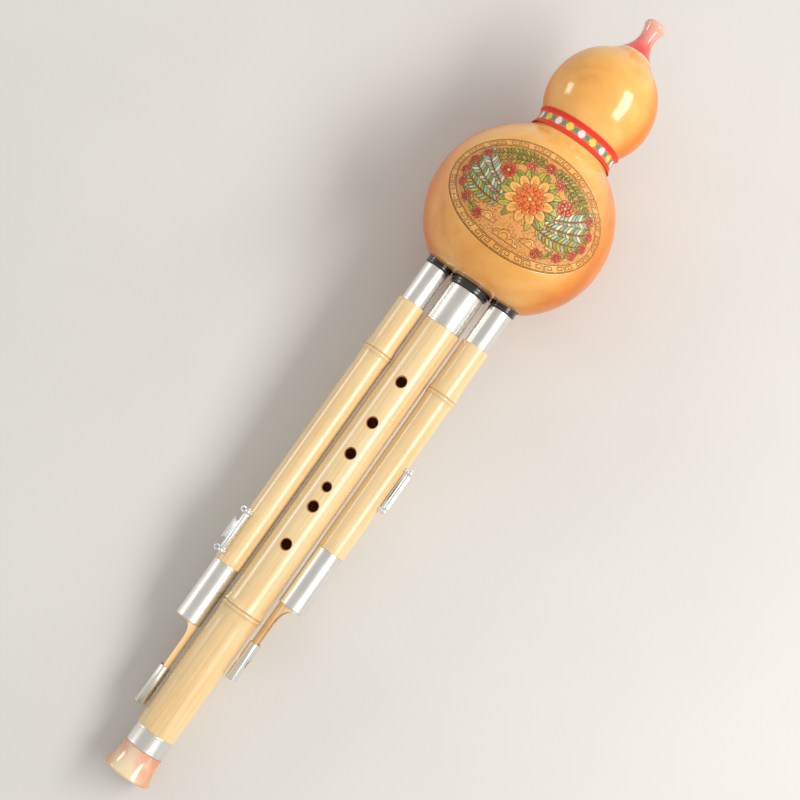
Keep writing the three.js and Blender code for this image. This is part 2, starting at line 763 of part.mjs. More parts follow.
// The outside runs up from the seat, and the same sizes less the wall give the wind chamber
function gourdOutline(inset, steps) {
  const lower = lowerBulbRadius - inset;
  const upper = upperBulbRadius - inset;
  const round = waistRound + inset;
  const waistCentre = point(waistRadius + waistRound, waistStation);
  const base = inset > 0 ? seatStation + gourdBase : seatStation;
  const lowerTurn = Math.atan2(waistCentre.x, waistStation - lowerBulbStation);
  const upperTurn = Math.atan2(waistCentre.x, upperBulbStation - waistStation);
  const waistFrom = Math.PI * 3 / 2 - lowerTurn;
  const waistTo = Math.PI / 2 + upperTurn;
  const lowerCentre = point(0, lowerBulbStation);
  const upperCentre = point(0, upperBulbStation);
  const bulbStart = Math.asin(baseRoundShare) - Math.PI / 2;
  const restTurn = -incline;
  const restHalf = radians(restFacetAngle) / 2;
  const start = arc(lowerCentre, lower, bulbStart, restTurn - restHalf, steps.base);
  const slope = Math.tan(bulbStart);
  const baseCorner = point(start[0].x + (start[0].y - base) * slope, base);
  const seatEdge = point(Math.min(seatRadius, baseCorner.x - inset), base);
  const crown = crownHeight - inset;
  const crownEnd = Math.acos(neckStartRadius / upperBulbRadius);
  const crownPoints = [];
  for (let i = 1; i <= steps.crown; i++) {
    const angle = crownEnd * i / steps.crown;
    crownPoints.push(point(upper * Math.cos(angle), upperBulbStation + crown * Math.sin(angle)));
  }
  return {
    seatEdge,
    baseCorner,
    points: [
      ...start,
      ...arc(lowerCentre, lower, restTurn + restHalf, Math.PI / 2 - lowerTurn, steps.bulb),
      ...arc(waistCentre, round, waistFrom, waistTo, steps.waist).slice(1),
      ...arc(upperCentre, upper, upperTurn - Math.PI / 2, 0, steps.upper).slice(1),
      ...crownPoints,
    ],
  };
}

function gourdShell() {
  const outer = gourdOutline(0, { base: 3, bulb: 5, waist: 4, upper: 3, crown: 5 });
  const neckTop = point(neckRadius, neckStation);
  const lastCrown = outer.points.at(-1);
  const [inShare, upShare] = neckCornerShares;
  const neckCorner = point(
    THREE.MathUtils.lerp(lastCrown.x, neckRadius, inShare),
    THREE.MathUtils.lerp(lastCrown.y, neckStation, upShare),
  );
  const wide = enclosing(gourdFacets);
  const outside = [
    point(0, seatStation),
    outer.seatEdge,
    ...bend(outer.seatEdge, outer.baseCorner, outer.points[0], 2),
    ...outer.points,
    ...bend(lastCrown, neckCorner, neckTop, 2),
    neckTop,
    point(0, neckStation),
  ].map((place) => point(place.x * wide, place.y));
  const inner = gourdOutline(gourdWall, { base: 2, bulb: 3, waist: 3, upper: 2, crown: 3 });
  const chamber = revolve([
    point(0, seatStation + gourdBase),
    inner.seatEdge,
    ...inner.points,
    point(0, inner.points.at(-1).y),
  ], droneFacets);
  const mainAcross = mainTenonRadius + fit + mainSocketWall + fit;
  const droneAcross = droneTenonRadius + fit + droneSocketWall + fit;
  const facing = droneCollarHighRadius + fit;
  const below = seatStation - overrun;
  const cutters = [
    chamber,
    drill(mainAcross, below, seatStation + gourdBase + overrun, mainFacets),
    drill(neckHoleRadius, upperBulbStation, neckStation + overrun, holeFacets),
  ];
  for (const side of [-1, 1]) {
    const hole = drill(droneAcross, below, droneSeatStation + socketDepth, droneFacets);
    const seat = drill(facing, below, droneSeatStation, droneFacets);
    cutters.push(hole.translate(side * droneOffset, 0, 0));
    cutters.push(seat.translate(side * droneOffset, 0, 0));
  }
  return cut(toSolid(revolve(outside, gourdFacets)), cutters);
}

// The ribbon follows the hollow of the waist
function waistRibbon() {
  const waistCentre = point(waistRadius + waistRound, waistStation);
  const turn = Math.asin(ribbonHeight / 2 / waistRound);
  const wide = enclosing(gourdFacets);
  const inner = arc(waistCentre, waistRound - fit, Math.PI - turn, Math.PI + turn, 2);
  const outer = arc(waistCentre, waistRound - fit - ribbonThickness, Math.PI + turn, Math.PI - turn, 2);
  const outline = [...inner, ...outer].map((place) => point(place.x * wide, place.y));
  return closedRevolve(outline, gourdFacets);
}

function mouthpiece() {
  const seat = neckStation + fit;
  const tip = seat + mouthpieceLength;
  const neck = point(mouthpieceNeckRadius, seat + mouthpieceNeckPlace);
  const flare = point(mouthpieceFlareRadius, seat + mouthpieceFlarePlace);
  const seatEdge = point(mouthpieceSeatRadius, seat);
  const tenon = neckHoleRadius - fit;
  const tipEdge = point(mouthpieceFlareRadius - mouthpieceTipRound, tip);
  return closedRevolve([
    point(mouthpieceBore, seat - mouthpieceTenonLength),
    point(tenon, seat - mouthpieceTenonLength),
    point(tenon, seat),
    seatEdge,
    ...bend(seatEdge, point(mouthpieceNeckRadius, seat + mouthpieceBendPlace), neck, 4),
    neck,
    ...bend(neck, point(mouthpieceNeckRadius, (neck.y + flare.y) / 2), flare, 3),
    flare,
    ...bend(flare, point(mouthpieceFlareRadius, tip), tipEdge, 3),
    tipEdge,
    point(mouthpieceBore, tip),
  ], tubeFacets);
}

// Assembly

function reedAssembly(prefix, sizes) {
  return [
    piece(`${prefix}_reed_tube`, toGeometry(reedTube(sizes)), tubeResin),
    piece(`${prefix}_reed`, reed(sizes), reedBrass),
    piece(`${prefix}_reed_plug`, reedPlug(sizes), tubeResin),
    piece(`${prefix}_seal`, seal(sizes), rubber),
  ];
}

function keyAssembly(drone) {
  const group = new THREE.Group();
  group.position.y = drone.keyPlace;
  group.rotation.y = keyTurn(drone);
  group.add(
    piece(`${drone.name}_key_mount`, toGeometry(keyMount(drone)), chrome),
    piece(`${drone.name}_key_rod`, keyRod(drone), chrome),
    piece(`${drone.name}_key_lever`, toGeometry(keyLever(drone)), chrome),
    piece(`${drone.name}_key_pad`, keyPad(drone), padLeather),
  );
  return group;
}

function droneAssembly(drone) {
  const group = new THREE.Group();
  group.position.x = -drone.towards * droneOffset;
  const upper = ferrule(droneUpperFerruleRadius, droneBambooHigh, droneTop, droneFacets);
  const lower = ferrule(droneLowerFerruleRadius, drone.ferruleLow, drone.ferruleHigh, droneFacets);
  group.add(
    piece(`${drone.name}_pipe`, toGeometry(dronePipe(drone)), bamboo),
    piece(`${drone.name}_upper_ferrule`, upper, silver),
    piece(`${drone.name}_lower_ferrule`, lower, silver),
    piece(`${drone.name}_tail_ferrule`, toGeometry(tailFerrule(drone)), silver),
    piece(`${drone.name}_socket`, droneSocket(), blackGloss),
    ...reedAssembly(drone.name, reedSizes(false)),
    keyAssembly(drone),
  );
  return group;
}

function mainAssembly() {
  const group = new THREE.Group();
  const lower = ferrule(mainLowerFerruleRadius, bellLength + fit, mainBambooLow, mainFacets);
  const upper = ferrule(mainUpperFerruleRadius, mainBambooHigh, mainTop, mainFacets);
  group.add(
    piece('main_pipe', toGeometry(mainPipe()), bamboo),
    piece('main_lower_ferrule', lower, silver),
    piece('main_upper_ferrule', upper, silver),
    piece('bell_end', bellEnd(), creamResin),
    piece('main_socket', mainSocket(), blackGloss),
    ...reedAssembly('main', reedSizes(true)),
  );
  return group;
}

const instrument = new THREE.Group();
instrument.add(
  piece('gourd_shell', toGeometry(gourdShell()), gourdSkin),
  piece('mouthpiece', mouthpiece(), redResin),
  piece('waist_ribbon', waistRibbon(), wovenTrim),
  mainAssembly(),
  droneAssembly(droneSizes(true)),
  droneAssembly(droneSizes(false)),
);

// Laid on its back, with the origin under the middle of its length
instrument.rotation.x = incline;
instrument.position.z = bellMouthRadius * Math.cos(incline) - bellRimRound * Math.sin(incline);
const reach = new THREE.Box3().setFromObject(instrument, true);
instrument.position.y = -(reach.min.y + reach.max.y) / 2;

const hulusi = new THREE.Group();
hulusi.add(instrument);

export default hulusi;
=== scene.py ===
import json
import math

import bpy
import numpy as np
from mathutils import Matrix, Vector

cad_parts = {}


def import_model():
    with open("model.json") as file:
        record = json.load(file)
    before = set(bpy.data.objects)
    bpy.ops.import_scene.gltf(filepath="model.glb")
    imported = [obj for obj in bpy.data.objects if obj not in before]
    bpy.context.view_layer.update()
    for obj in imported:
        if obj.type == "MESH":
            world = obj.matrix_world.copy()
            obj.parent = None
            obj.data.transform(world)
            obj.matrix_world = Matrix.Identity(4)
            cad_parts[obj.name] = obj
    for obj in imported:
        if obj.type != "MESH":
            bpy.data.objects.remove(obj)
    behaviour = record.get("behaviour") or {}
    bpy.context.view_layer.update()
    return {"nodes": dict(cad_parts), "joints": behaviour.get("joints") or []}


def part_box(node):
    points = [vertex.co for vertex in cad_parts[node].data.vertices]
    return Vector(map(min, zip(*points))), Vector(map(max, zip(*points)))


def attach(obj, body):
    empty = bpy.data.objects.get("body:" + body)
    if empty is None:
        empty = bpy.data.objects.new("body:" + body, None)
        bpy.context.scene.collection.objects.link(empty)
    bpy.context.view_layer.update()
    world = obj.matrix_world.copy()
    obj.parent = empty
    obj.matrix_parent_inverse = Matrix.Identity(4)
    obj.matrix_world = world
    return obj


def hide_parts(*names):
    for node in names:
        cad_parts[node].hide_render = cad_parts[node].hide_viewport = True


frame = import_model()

# A hulusi lying on its back. Each piece is made along the instrument's own axis, in millimetres: x to the
# side of the short drone, u from the bell's mouth (0) to the mouthpiece, z towards the finger holes.
# It is then laid on the floor at the angle that the solids have, in metres.

MM = 0.001
FIT = 0.3
SEAM = 0.08

# Points round a piece, and the angles in degrees above which its edges stay sharp
PIPE_AROUND = 96
DRONE_AROUND = 80
SOCKET_AROUND = 72
OVAL_AROUND = 56
SHARP = 40
BAMBOO_SHARP = 32
KEY_SHARP = 38
SOFTENED_SHARP = 45
RESIN_SHARP = 50
GOURD_SHARP = 60

# Bell
BELL_LENGTH = 15
BELL_MOUTH = 13
BELL_TOP = 10.7
BELL_RIM = 1.3
BELL_WALL = 1.9
BELL_SPIGOT_LENGTH = 9
BELL_THROAT = 5.2
BELL_CURVE = 2.8

# Main pipe
MAIN_LOW = 25
MAIN_HIGH = 269.3
MAIN_TOP = 290.9
MAIN_LOW_RADIUS = 10.85
MAIN_HIGH_RADIUS = 10.4
MAIN_BORE = 6.75
MAIN_NODE = 98.1
MAIN_NODE_HEIGHT = 0.8
MAIN_LOWER_FERRULE = 10.5
MAIN_UPPER_FERRULE = 10.15
FERRULE_WALL = 0.35
HOLE_RADIUS = 2.8
SMALL_HOLE_RADIUS = 2.35
OUTLET_RADIUS = 2.4
BEVEL_DEPTH = 0.95
BEVEL_LENGTH = 1.6
HOLE_SHARES = (0.142, 0.243, 0.319, 0.449, 0.542)
SMALL_HOLE_SHARE = 0.4015
THUMB_SHARE = 0.078
OUTLET_SHARES = (0.837, 0.894)

# Drones
DRONE_OFFSET = 19.3
DRONE_TOP = 292.4
DRONE_HIGH = 270.7
DRONE_HIGH_RADIUS = 7.65
DRONE_LOW_RADIUS = 7.45
DRONE_BORE = 4.6
DRONE_TURNED = 6.6
DRONE_NODE = 241.2
DRONE_NODE_HEIGHT = 0.6
DRONE_UPPER_FERRULE = 6.75
DRONE_LOWER_FERRULE = 7.25
TAIL_LENGTH = 21.3
TAIL_DEPTH = 6.1
TAIL_HEIGHT = 8.8
TAIL_REACH = DRONE_OFFSET - MAIN_LOW_RADIUS - MAIN_NODE_HEIGHT - FIT
TASSEL_HOLE = 2.6
CUT_HALF = 12

# towards is the way to the melody pipe along x, strip the thickness of the strip of bamboo, and round the
# width and height of its shoulder.
DRONES = {
    "left": {
        "towards": 1, "tail": 32.3, "low": 78.8, "high": 111.7, "strip": 2.8,
        "round": (4, 9), "key": 127.5, "rod_angle": 60,
    },
    "right": {
        "towards": -1, "tail": 67.1, "low": 112.4, "high": 145.9, "strip": 3.6,
        "round": (8.6, 12), "key": 189, "rod_angle": 22,
    },
}

# Sockets and tenons
MAIN_TENON = 8.4
DRONE_TENON = 5.1
MAIN_COLLAR = (10.8, 1.9)  # radius and height, as for the flange
MAIN_FLANGE = (11.4, 1.8)
MAIN_SOCKET_WALL = 1.6
DRONE_SOCKET_WALL = 0.8
SOCKET_DEPTH = 13
DRONE_COLLAR = (7.2, 7.45, 5.4)  # radius at its foot and at its top, and height

# Gourd. Its smooth bulbs stay within the box of the faceted solid.
SEAT = 295.2
DRONE_SEAT = 298.4
LOWER_BULB = 336.2
LOWER_RADIUS = 48.23
WAIST = 384.9
WAIST_RADIUS = 21.4
WAIST_ROUND = 9
UPPER_BULB = 407.0
UPPER_RADIUS = 28.5
CROWN = 31.1
NECK_START = 14
NECK_CORNER = (10.6, 436.8)  # radius and station, as for the neck's end
NECK = (8.3, 439.44)
NECK_HOLE = 5.5
GOURD_WALL = 3.5
GOURD_BASE = 6
SEAT_RADIUS = 19.5
BASE_START = -49.5

# Ribbon
RIBBON_WIDTH = 10
RIBBON_THICKNESS = 0.55
RIBBON_REPEATS = 10
RIBBON_START = 3.3  # how far the pattern is shifted along the band
RIBBON_PATTERN = (0.27, 0.71)  # where it starts and ends across the band, as shares of the width
RIBBON_GAP = 0.35
RIBBON_RIPPLE = 0.25
STRIPE = 1.3
THREAD = 0.42
PICK = 0.5

# Mouthpiece
MOUTH_SEAT = 439.5
MOUTH_LENGTH = 19.55
MOUTH_SEAT_RADIUS = 8.3
MOUTH_BEND = 5
MOUTH_NECK = (4.35, 9.8)  # radius, and height above the seat, as for the flare
MOUTH_FLARE = (5.9, 16.4)
MOUTH_TIP_ROUND = 2.8
MOUTH_BORE = 2.4
MOUTH_TENON = 9

# Keys
KEY_THICKNESS = 0.7
KEY_LENGTH = 25.4
KEY_POSTS = 22.8
KEY_POST_RADIUS = 0.9
KEY_BALL = 1.6
KEY_ROD = 0.6
KEY_ROD_HEIGHT = 2.9
KEY_ROD_LENGTH = 26.6
KEY_BARREL = 1.45
KEY_SPREAD = 36
KEY_RING = (1.25, 0.42)  # radius, and radius of its wire
KEY_RING_HEIGHT = 1.9
TONE_HOLE = 2.2
SEAT_RING = 0.7
SEAT_HEIGHT = 0.5
CUP = (3.9, 0.6, 1.4)  # radius, wall and depth
LEAF = (12.8, 8.2, 0.8)  # length, width and thickness
ARM_WIDTH = 10
ROD_BORE_HALF = 15
LUG = 1.15
LUG_STEP = 0.02
PAD = 0.9

# Medallion, in millimetres along the gourd's skin
OVAL = (48.0, 30.5)  # half its width and half its height
OVAL_TURN = 4.9
OVAL_STATION = 338
BORDER = 4.6
RECESS = 0.35
GROOVE = 0.3
GROOVE_WIDTH = 0.42
SCROLLS = 38

# The way the instrument lies: its axis is the way that the pipes are pulled, reversed, and the melody pipe's
# seal is centred on that axis.
SEAL_STATION = 298.7
pull = Vector(next(j["axis"] for j in frame["joints"] if j["name"] == "melody_pipe_pull"))
LEAN = Matrix.Rotation(math.atan2(-pull.z, -pull.y), 4, "X")
seal_low, seal_high = (Vector(corner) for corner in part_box("main_seal"))
LIE = Matrix.Translation((seal_low + seal_high) / 2 - LEAN @ Vector((0, SEAL_STATION * MM, 0))) @ LEAN


def world(points):
    """Places points of the instrument's own frame, in millimetres, in the row frame, in metres."""
    rotation = np.array(LIE.to_3x3())
    return np.asarray(points, float) * MM @ rotation.T + np.array(LIE.translation)


# Camera, in the instrument's own frame. It looks from the photograph's angle, nearly straight down and a
# little from the bell's end.

CAMERA_PLACE = LIE @ Vector((0.1114, 0.1650, 0.9286))
CAMERA_AIM = LIE @ Vector((0.0038, 0.2275, 0.0019))
CAMERA_UP = LEAN @ Vector((-0.56814, 0.81401, 0.12085))
CAMERA_LENS = 84.7


def add_camera():
    data = bpy.data.cameras.new("camera")
    data.lens = CAMERA_LENS
    data.sensor_width = 36
    data.clip_start = 0.01
    data.clip_end = 50
    camera = bpy.data.objects.new("camera", data)
    back = (CAMERA_PLACE - CAMERA_AIM).normalized()
    right = CAMERA_UP.cross(back).normalized()
    up = back.cross(right)
    turn = Matrix((right, up, back)).transposed()
    camera.matrix_world = Matrix.Translation(CAMERA_PLACE) @ turn.to_4x4()
    bpy.context.scene.collection.objects.link(camera)
    bpy.context.scene.camera = camera


add_camera()


# Mesh helpers

def read_points(obj):
    co = np.empty(len(obj.data.vertices) * 3)
    obj.data.vertices.foreach_get("co", co)
    return co.reshape(-1, 3)


def write_points(obj, co):
    obj.data.vertices.foreach_set("co", co.ravel())
    obj.data.update()


def mark(obj, name, values):
    """Keeps a value for each point, which the material reads."""
    layer = obj.data.attributes.new(name, "FLOAT", "POINT")
    layer.data.foreach_set("value", values.astype(np.float32))


def resharpen(obj, sharp):
    obj.data.shade_smooth()
    obj.data.set_sharp_from_angle(angle=math.radians(sharp))


def new_object(name, verts, faces, smooth=True, sharp=SHARP):
    mesh = bpy.data.meshes.new(name)
    mesh.from_pydata(np.asarray(verts, float).tolist(), [], faces)
    mesh.validate()
    obj = bpy.data.objects.new(name, mesh)
    bpy.context.scene.collection.objects.link(obj)
    if smooth:
        resharpen(obj, sharp)
    return obj


def full_turn(count):
    """Angles of points evenly spaced round a circle."""
    return np.arange(count) * 2 * math.pi / count


def arc(centre, across, along, turns):
    """Points of a circle's or an oval's bend about a centre."""
    return [(centre[0] + across * math.cos(t), centre[1] + along * math.sin(t)) for t in turns]


def ring_faces(rings, around):
    """Faces between closed rings of points, each ring joined to the next and the last to the first."""
    faces = []
    for i in range(rings):
        j = (i + 1) % rings
        for a in range(around):
            b = (a + 1) % around
            faces.append((i * around + a, i * around + b, j * around + b, j * around + a))
    return faces


def tube_faces(around):
    """Faces between two rings of points, with a cap on each."""
    faces = [(i, (i + 1) % around, around + (i + 1) % around, around + i) for i in range(around)]
    return faces + [tuple(reversed(range(around))), tuple(range(around, 2 * around))]


def lathe_mesh(outline, angles):
    """Vertices and faces of a closed outline of (radius, station) turned round the axis."""
    radius, station = np.asarray(outline, float).T
    verts = np.empty((len(radius), len(angles), 3))
    verts[:, :, 0] = radius[:, None] * np.sin(angles)
    verts[:, :, 1] = station[:, None]
    verts[:, :, 2] = radius[:, None] * np.cos(angles)
    return verts.reshape(-1, 3), ring_faces(len(radius), len(angles))


def lathe(name, outline, around, x=0.0, sharp=SHARP):
    verts, faces = lathe_mesh(outline, full_turn(around))
    verts[:, 0] += x
    obj = new_object(name, verts, faces, sharp=sharp)
    outward(obj)
    return obj


def outward(obj):
    """Turns the faces of a closed mesh outwards."""
    mesh = obj.data
    mesh.calc_loop_triangles()
    tris = np.empty(len(mesh.loop_triangles) * 3, np.int32)
    mesh.loop_triangles.foreach_get("vertices", tris)
    corners = read_points(obj)[tris.reshape(-1, 3)]
    volume = np.einsum("ij,ij->i", corners[:, 0], np.cross(corners[:, 1], corners[:, 2])).sum()
    if volume < 0:
        mesh.flip_normals()


def curve_points(start, corner, end, steps):
    """Points of a smooth bend from start to end, both ends among them."""
    start, corner, end = (np.asarray(p, float) for p in (start, corner, end))
    shares = np.linspace(0, 1, steps + 1)
    return [(1 - t) ** 2 * start + 2 * t * (1 - t) * corner + t ** 2 * end for t in shares]


def rounded(points, radii, steps):
    """The same closed outline with each corner rounded off by its own radius."""
    points = [np.asarray(p, float) for p in points]
    result = []
    for i, (here, radius) in enumerate(zip(points, radii)):
        before, after = points[i - 1] - here, points[(i + 1) % len(points)] - here
        far_before, far_after = np.linalg.norm(before), np.linalg.norm(after)
        reach = min(radius, far_before * 0.45, far_after * 0.45)
        start, end = here + before / far_before * reach, here + after / far_after * reach
        result += curve_points(start, here, end, steps)
    return result


def cylinder_mesh(radius, length, around=40, top_radius=None):
    """A cylinder along +Z from 0, or a cone."""
    rings = ((radius, 0), (radius if top_radius is None else top_radius, length))
    verts = [(r * math.cos(t), r * math.sin(t), z) for r, z in rings for t in full_turn(around)]
    return verts, tube_faces(around)


def prism_mesh(outline, low, high):
    """A prism along Z over an outline of (x, y)."""
    return [(x, y, z) for z in (low, high) for x, y in outline], tube_faces(len(outline))


def turned(verts, matrix):
    return [tuple(matrix @ Vector(v)) for v in verts]


def apply_modifiers(obj):
    graph = bpy.context.evaluated_depsgraph_get()
    graph.update()
    mesh = bpy.data.meshes.new_from_object(obj.evaluated_get(graph))
    obj.modifiers.clear()
    old = obj.data
    obj.data = mesh
    bpy.data.meshes.remove(old)


def boolean(obj, cutter_meshes, operation="DIFFERENCE", solver="EXACT"):
    """Cuts each cutter from the object, or adds it."""
    made = []
    for verts, faces in cutter_meshes:
        cutter = new_object("cutter", verts, faces, smooth=False)
        outward(cutter)
        modifier = obj.modifiers.new("cut", "BOOLEAN")
        modifier.operation = operation
        modifier.solver = solver
        modifier.object = cutter
        made.append(cutter)
    apply_modifiers(obj)
    for cutter in made:
        mesh = cutter.data
        bpy.data.objects.remove(cutter)
        bpy.data.meshes.remove(mesh)


def finish_piece(obj, body, nodes, slot, *materials):
    """Lays a piece in its place, dresses it, gives it its body and hides the nodes it stands for. slot is not
    used.
    """
    write_points(obj, world(read_points(obj)))
    for material in materials:
        obj.data.materials.append(material)
    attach(obj, body)
    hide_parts(*nodes)


def radial(radius, start, length, station, x=0.0, turn=0.0, top_radius=None):
    """A cutter or post that points away from a pipe's axis. turn is from +Z towards +X."""
    verts, faces = cylinder_mesh(radius, length, top_radius=top_radius)
    place = Matrix.Translation((x, station, 0)) @ Matrix.Rotation(turn, 4, "Y")
    return turned(verts, place @ Matrix.Translation((0, 0, start))), faces


# Materials

class Nodes:
    """A small helper that adds and links shader nodes."""

    def __init__(self, name):
        self.material = bpy.data.materials.new(name)
        self.material.use_nodes = True
        self.tree = self.material.node_tree
        self.shader = self.tree.nodes["Principled BSDF"]

    def put(self, value, socket):
        """Links an output to a socket, or sets the socket's own value."""
        if hasattr(value, "is_output"):
            self.tree.links.new(value, socket)
        elif socket.type == "RGBA":
            socket.default_value = (*value, 1)
        else:
            socket.default_value = value

    def add(self, kind, output, inputs, **settings):
        """Adds a node, fills its inputs and gives one of its outputs."""
        node = self.tree.nodes.new(kind)
        for key, value in settings.items():
            setattr(node, key, value)
        for key, value in inputs.items():
            self.put(value, node.inputs[key])
        return node.outputs[output]

    def coordinates(self, scale=(1, 1, 1), along_axis=True):
        """Object coordinates, turned so that Y runs along the instrument, times scale."""
        vector = self.add("ShaderNodeTexCoord", "Object", {})
        if along_axis:
            turn = (-LEAN.to_euler().x, 0, 0)
            vector = self.add("ShaderNodeMapping", "Vector", {"Vector": vector, "Rotation": turn})
        return self.add("ShaderNodeMapping", "Vector", {"Vector": vector, "Scale": scale})

    def noise(self, vector, scale, detail, roughness, distortion=0.0):
        look = {"Scale": scale, "Detail": detail, "Roughness": roughness, "Distortion": distortion}
        return self.add("ShaderNodeTexNoise", "Fac", {"Vector": vector, **look})

    def grain(self, scale, *look):
        """Noise whose scale is given along x, u and z, in repeats for each metre."""
        return self.noise(self.coordinates(scale), 1.0, *look)

    def ramp(self, value, stops):
        """stops is a list of (place, colour), or of (place, grey)."""
        output = self.add("ShaderNodeValToRGB", "Color", {"Fac": value})
        elements = output.node.color_ramp.elements
        while len(elements) < len(stops):
            elements.new(0.5)
        for element, (place, colour) in zip(elements, stops):
            element.position = place
            element.color = (colour, colour, colour, 1) if np.isscalar(colour) else (*colour, 1)
        return output

    def mix(self, factor, first, second, mode="MIX"):
        inputs = {0: factor, 6: first, 7: second}
        return self.add("ShaderNodeMix", 2, inputs, data_type="RGBA", blend_type=mode)

    def math(self, operation, *values):
        return self.add("ShaderNodeMath", 0, dict(enumerate(values)), operation=operation)

    def part(self, vector, index):
        return self.add("ShaderNodeSeparateXYZ", index, {0: vector})

    def attribute(self, name, output="Fac"):
        return self.add("ShaderNodeAttribute", output, {}, attribute_name=name)

    def bump(self, height, strength, distance):
        inputs = {"Height": height, "Strength": strength, "Distance": distance}
        return self.add("ShaderNodeBump", "Normal", inputs)

    def set(self, **values):
        for key, value in values.items():
            self.put(value, self.shader.inputs[key.replace("_", " ")])
        return self.material


def linear(red, green, blue):
    """A colour read on a screen, 0 to 255, as the shader takes it."""
    return tuple((c / 255 / 12.92) if c / 255 <= 0.04045 else ((c / 255 + 0.055) / 1.055) ** 2.4
                 for c in (red, green, blue))


def bamboo_material(name, seed):
    n = Nodes(name)
    fine = n.grain((900, 14, 900), 6, 0.6)
    coarse = n.grain((220, 6, 220), 3, 0.5, 0.3)
    patches = n.grain((28 + seed, 9, 28), 3, 0.5)
    base = n.ramp(patches, [
        (0.3, linear(246, 218, 166)), (0.55, linear(240, 205, 148)), (0.8, linear(230, 186, 122)),
    ])
    streaks = n.ramp(fine, [
        (0.32, linear(212, 164, 104)), (0.5, linear(242, 210, 156)), (0.7, linear(250, 228, 182)),
    ])
    colour = n.mix(0.36, base, streaks)
    bands = n.ramp(coarse, [(0.35, 0.9), (0.6, 1.0)])
    colour = n.mix(0.7, colour, bands, "MULTIPLY")
    specks = n.ramp(n.grain((700, 45, 700), 2, 0.7), [(0.0, 0.62), (0.24, 1.0)])
    colour = n.mix(0.6, colour, specks, "MULTIPLY")
    mottle = n.ramp(n.grain((320, 150, 320), 4, 0.65), [(0.3, 0.9), (0.55, 1.0)])
    colour = n.mix(0.5, colour, mottle, "MULTIPLY")
    colour = n.mix(n.attribute("scar"), colour, linear(146, 94, 50))
    rough = n.ramp(fine, [(0.3, 0.34), (0.7, 0.24)])
    normal = n.bump(fine, 0.16, 0.00012)
    return n.set(Base_Color=colour, Roughness=rough, Normal=normal, Coat_Weight=0.6, Coat_Roughness=0.2,
                 Coat_IOR=1.65, Subsurface_Weight=0.04, Subsurface_Scale=0.002)


def gourd_colour(n):
    """The varnished skin's colour, and its finest mottling."""
    where = n.coordinates((1, 0.8, 1))
    clouds = n.noise(where, 26, 5, 0.55, 0.6)
    wide = n.noise(where, 9, 2, 0.5)
    fine = n.noise(where, 160, 4, 0.6)
    colour = n.ramp(clouds, [
        (0.34, linear(208, 122, 50)), (0.45, linear(236, 158, 68)),
        (0.55, linear(245, 176, 86)), (0.66, linear(251, 200, 118)),
    ])
    tone = n.ramp(wide, [(0.38, linear(220, 138, 56)), (0.62, linear(248, 188, 98))])
    colour = n.mix(0.4, colour, tone)
    pores = n.ramp(fine, [(0.25, 0.86), (0.45, 1.0)])
    colour = n.mix(0.6, colour, pores, "MULTIPLY")
    # painted shade: the flanks and the back are darkened towards orange-brown
    colour = n.mix(n.attribute("flank_shade"), colour, (0.84, 0.53, 0.13), "MULTIPLY")
    return n.mix(n.attribute("pale"), colour, linear(252, 208, 170)), fine


def gourd_material():
    n = Nodes("gourd_varnish")
    skin, fine = gourd_colour(n)
    paint = n.attribute("paint", "Color")
    cover = n.attribute("cover")
    ground = n.attribute("ground")
    line = n.attribute("line")
    stipple = n.add("ShaderNodeTexVoronoi", "Distance", {"Vector": n.coordinates(), "Scale": 900})
    tan = n.mix(n.ramp(stipple, [(0.1, 0.0), (0.5, 1.0)]), linear(164, 100, 44), linear(226, 160, 92))
    colour = n.mix(ground, skin, tan)
    worn = n.ramp(n.noise(n.coordinates(), 420, 3, 0.6), [(0.3, 0.62), (0.6, 1.0)])
    colour = n.mix(n.math("MULTIPLY", cover, worn), colour, paint)
    colour = n.mix(line, colour, linear(112, 62, 28))
    dull = n.math("MAXIMUM", ground, n.math("MAXIMUM", line, n.math("MULTIPLY", cover, 0.6)))
    rough = n.math("MULTIPLY_ADD", dull, 0.3, 0.22)
    coat = n.math("MULTIPLY_ADD", n.math("MAXIMUM", dull, n.attribute("flank_shade")), -0.54, 0.6)
    grain = n.math("MULTIPLY", n.ramp(stipple, [(0.0, 0.0), (0.6, 1.0)]), ground)
    height = n.math("MULTIPLY_ADD", grain, 1.0, n.math("MULTIPLY", fine, 0.06))
    normal = n.bump(height, 0.5, 0.00018)
    return n.set(Base_Color=colour, Roughness=rough, Coat_Weight=coat, Coat_Roughness=0.13, Coat_IOR=1.8,
                 Specular_IOR_Level=0.2, Normal=normal, Subsurface_Weight=0.06, Subsurface_Scale=0.003)


def metal_material(name, colour, roughness, brushed):
    n = Nodes(name)
    wear = n.grain((60, 60, 60), 4, 0.6)
    lines = n.grain((240, 2600, 240), 3, 0.6)
    tone = n.ramp(wear, [(0.3, tuple(c * 0.92 for c in colour)), (0.7, colour)])
    rough = n.ramp(wear, [(0.3, roughness), (0.75, roughness + 0.08)])
    normal = n.bump(lines, brushed, 0.00003)
    return n.set(Base_Color=tone, Metallic=1.0, Roughness=rough, Normal=normal)


def black_material():
    n = Nodes("black_resin")
    wave = n.grain((120, 120, 120), 3, 0.5)
    colour = n.ramp(wave, [(0.3, linear(22, 24, 28)), (0.7, linear(40, 43, 50))])
    rough = n.ramp(wave, [(0.3, 0.24), (0.7, 0.34)])
    return n.set(Base_Color=colour, Roughness=rough, Coat_Weight=0.7, Coat_Roughness=0.12)


def along_piece(n, station, length):
    """How far a point is along a piece, from 0 at its station to 1 at its other end."""
    start = (LEAN.to_3x3().inverted() @ LIE.translation).y + station * MM
    return n.math("MULTIPLY", n.math("SUBTRACT", n.part(n.coordinates(), 1), start), 1 / (length * MM))


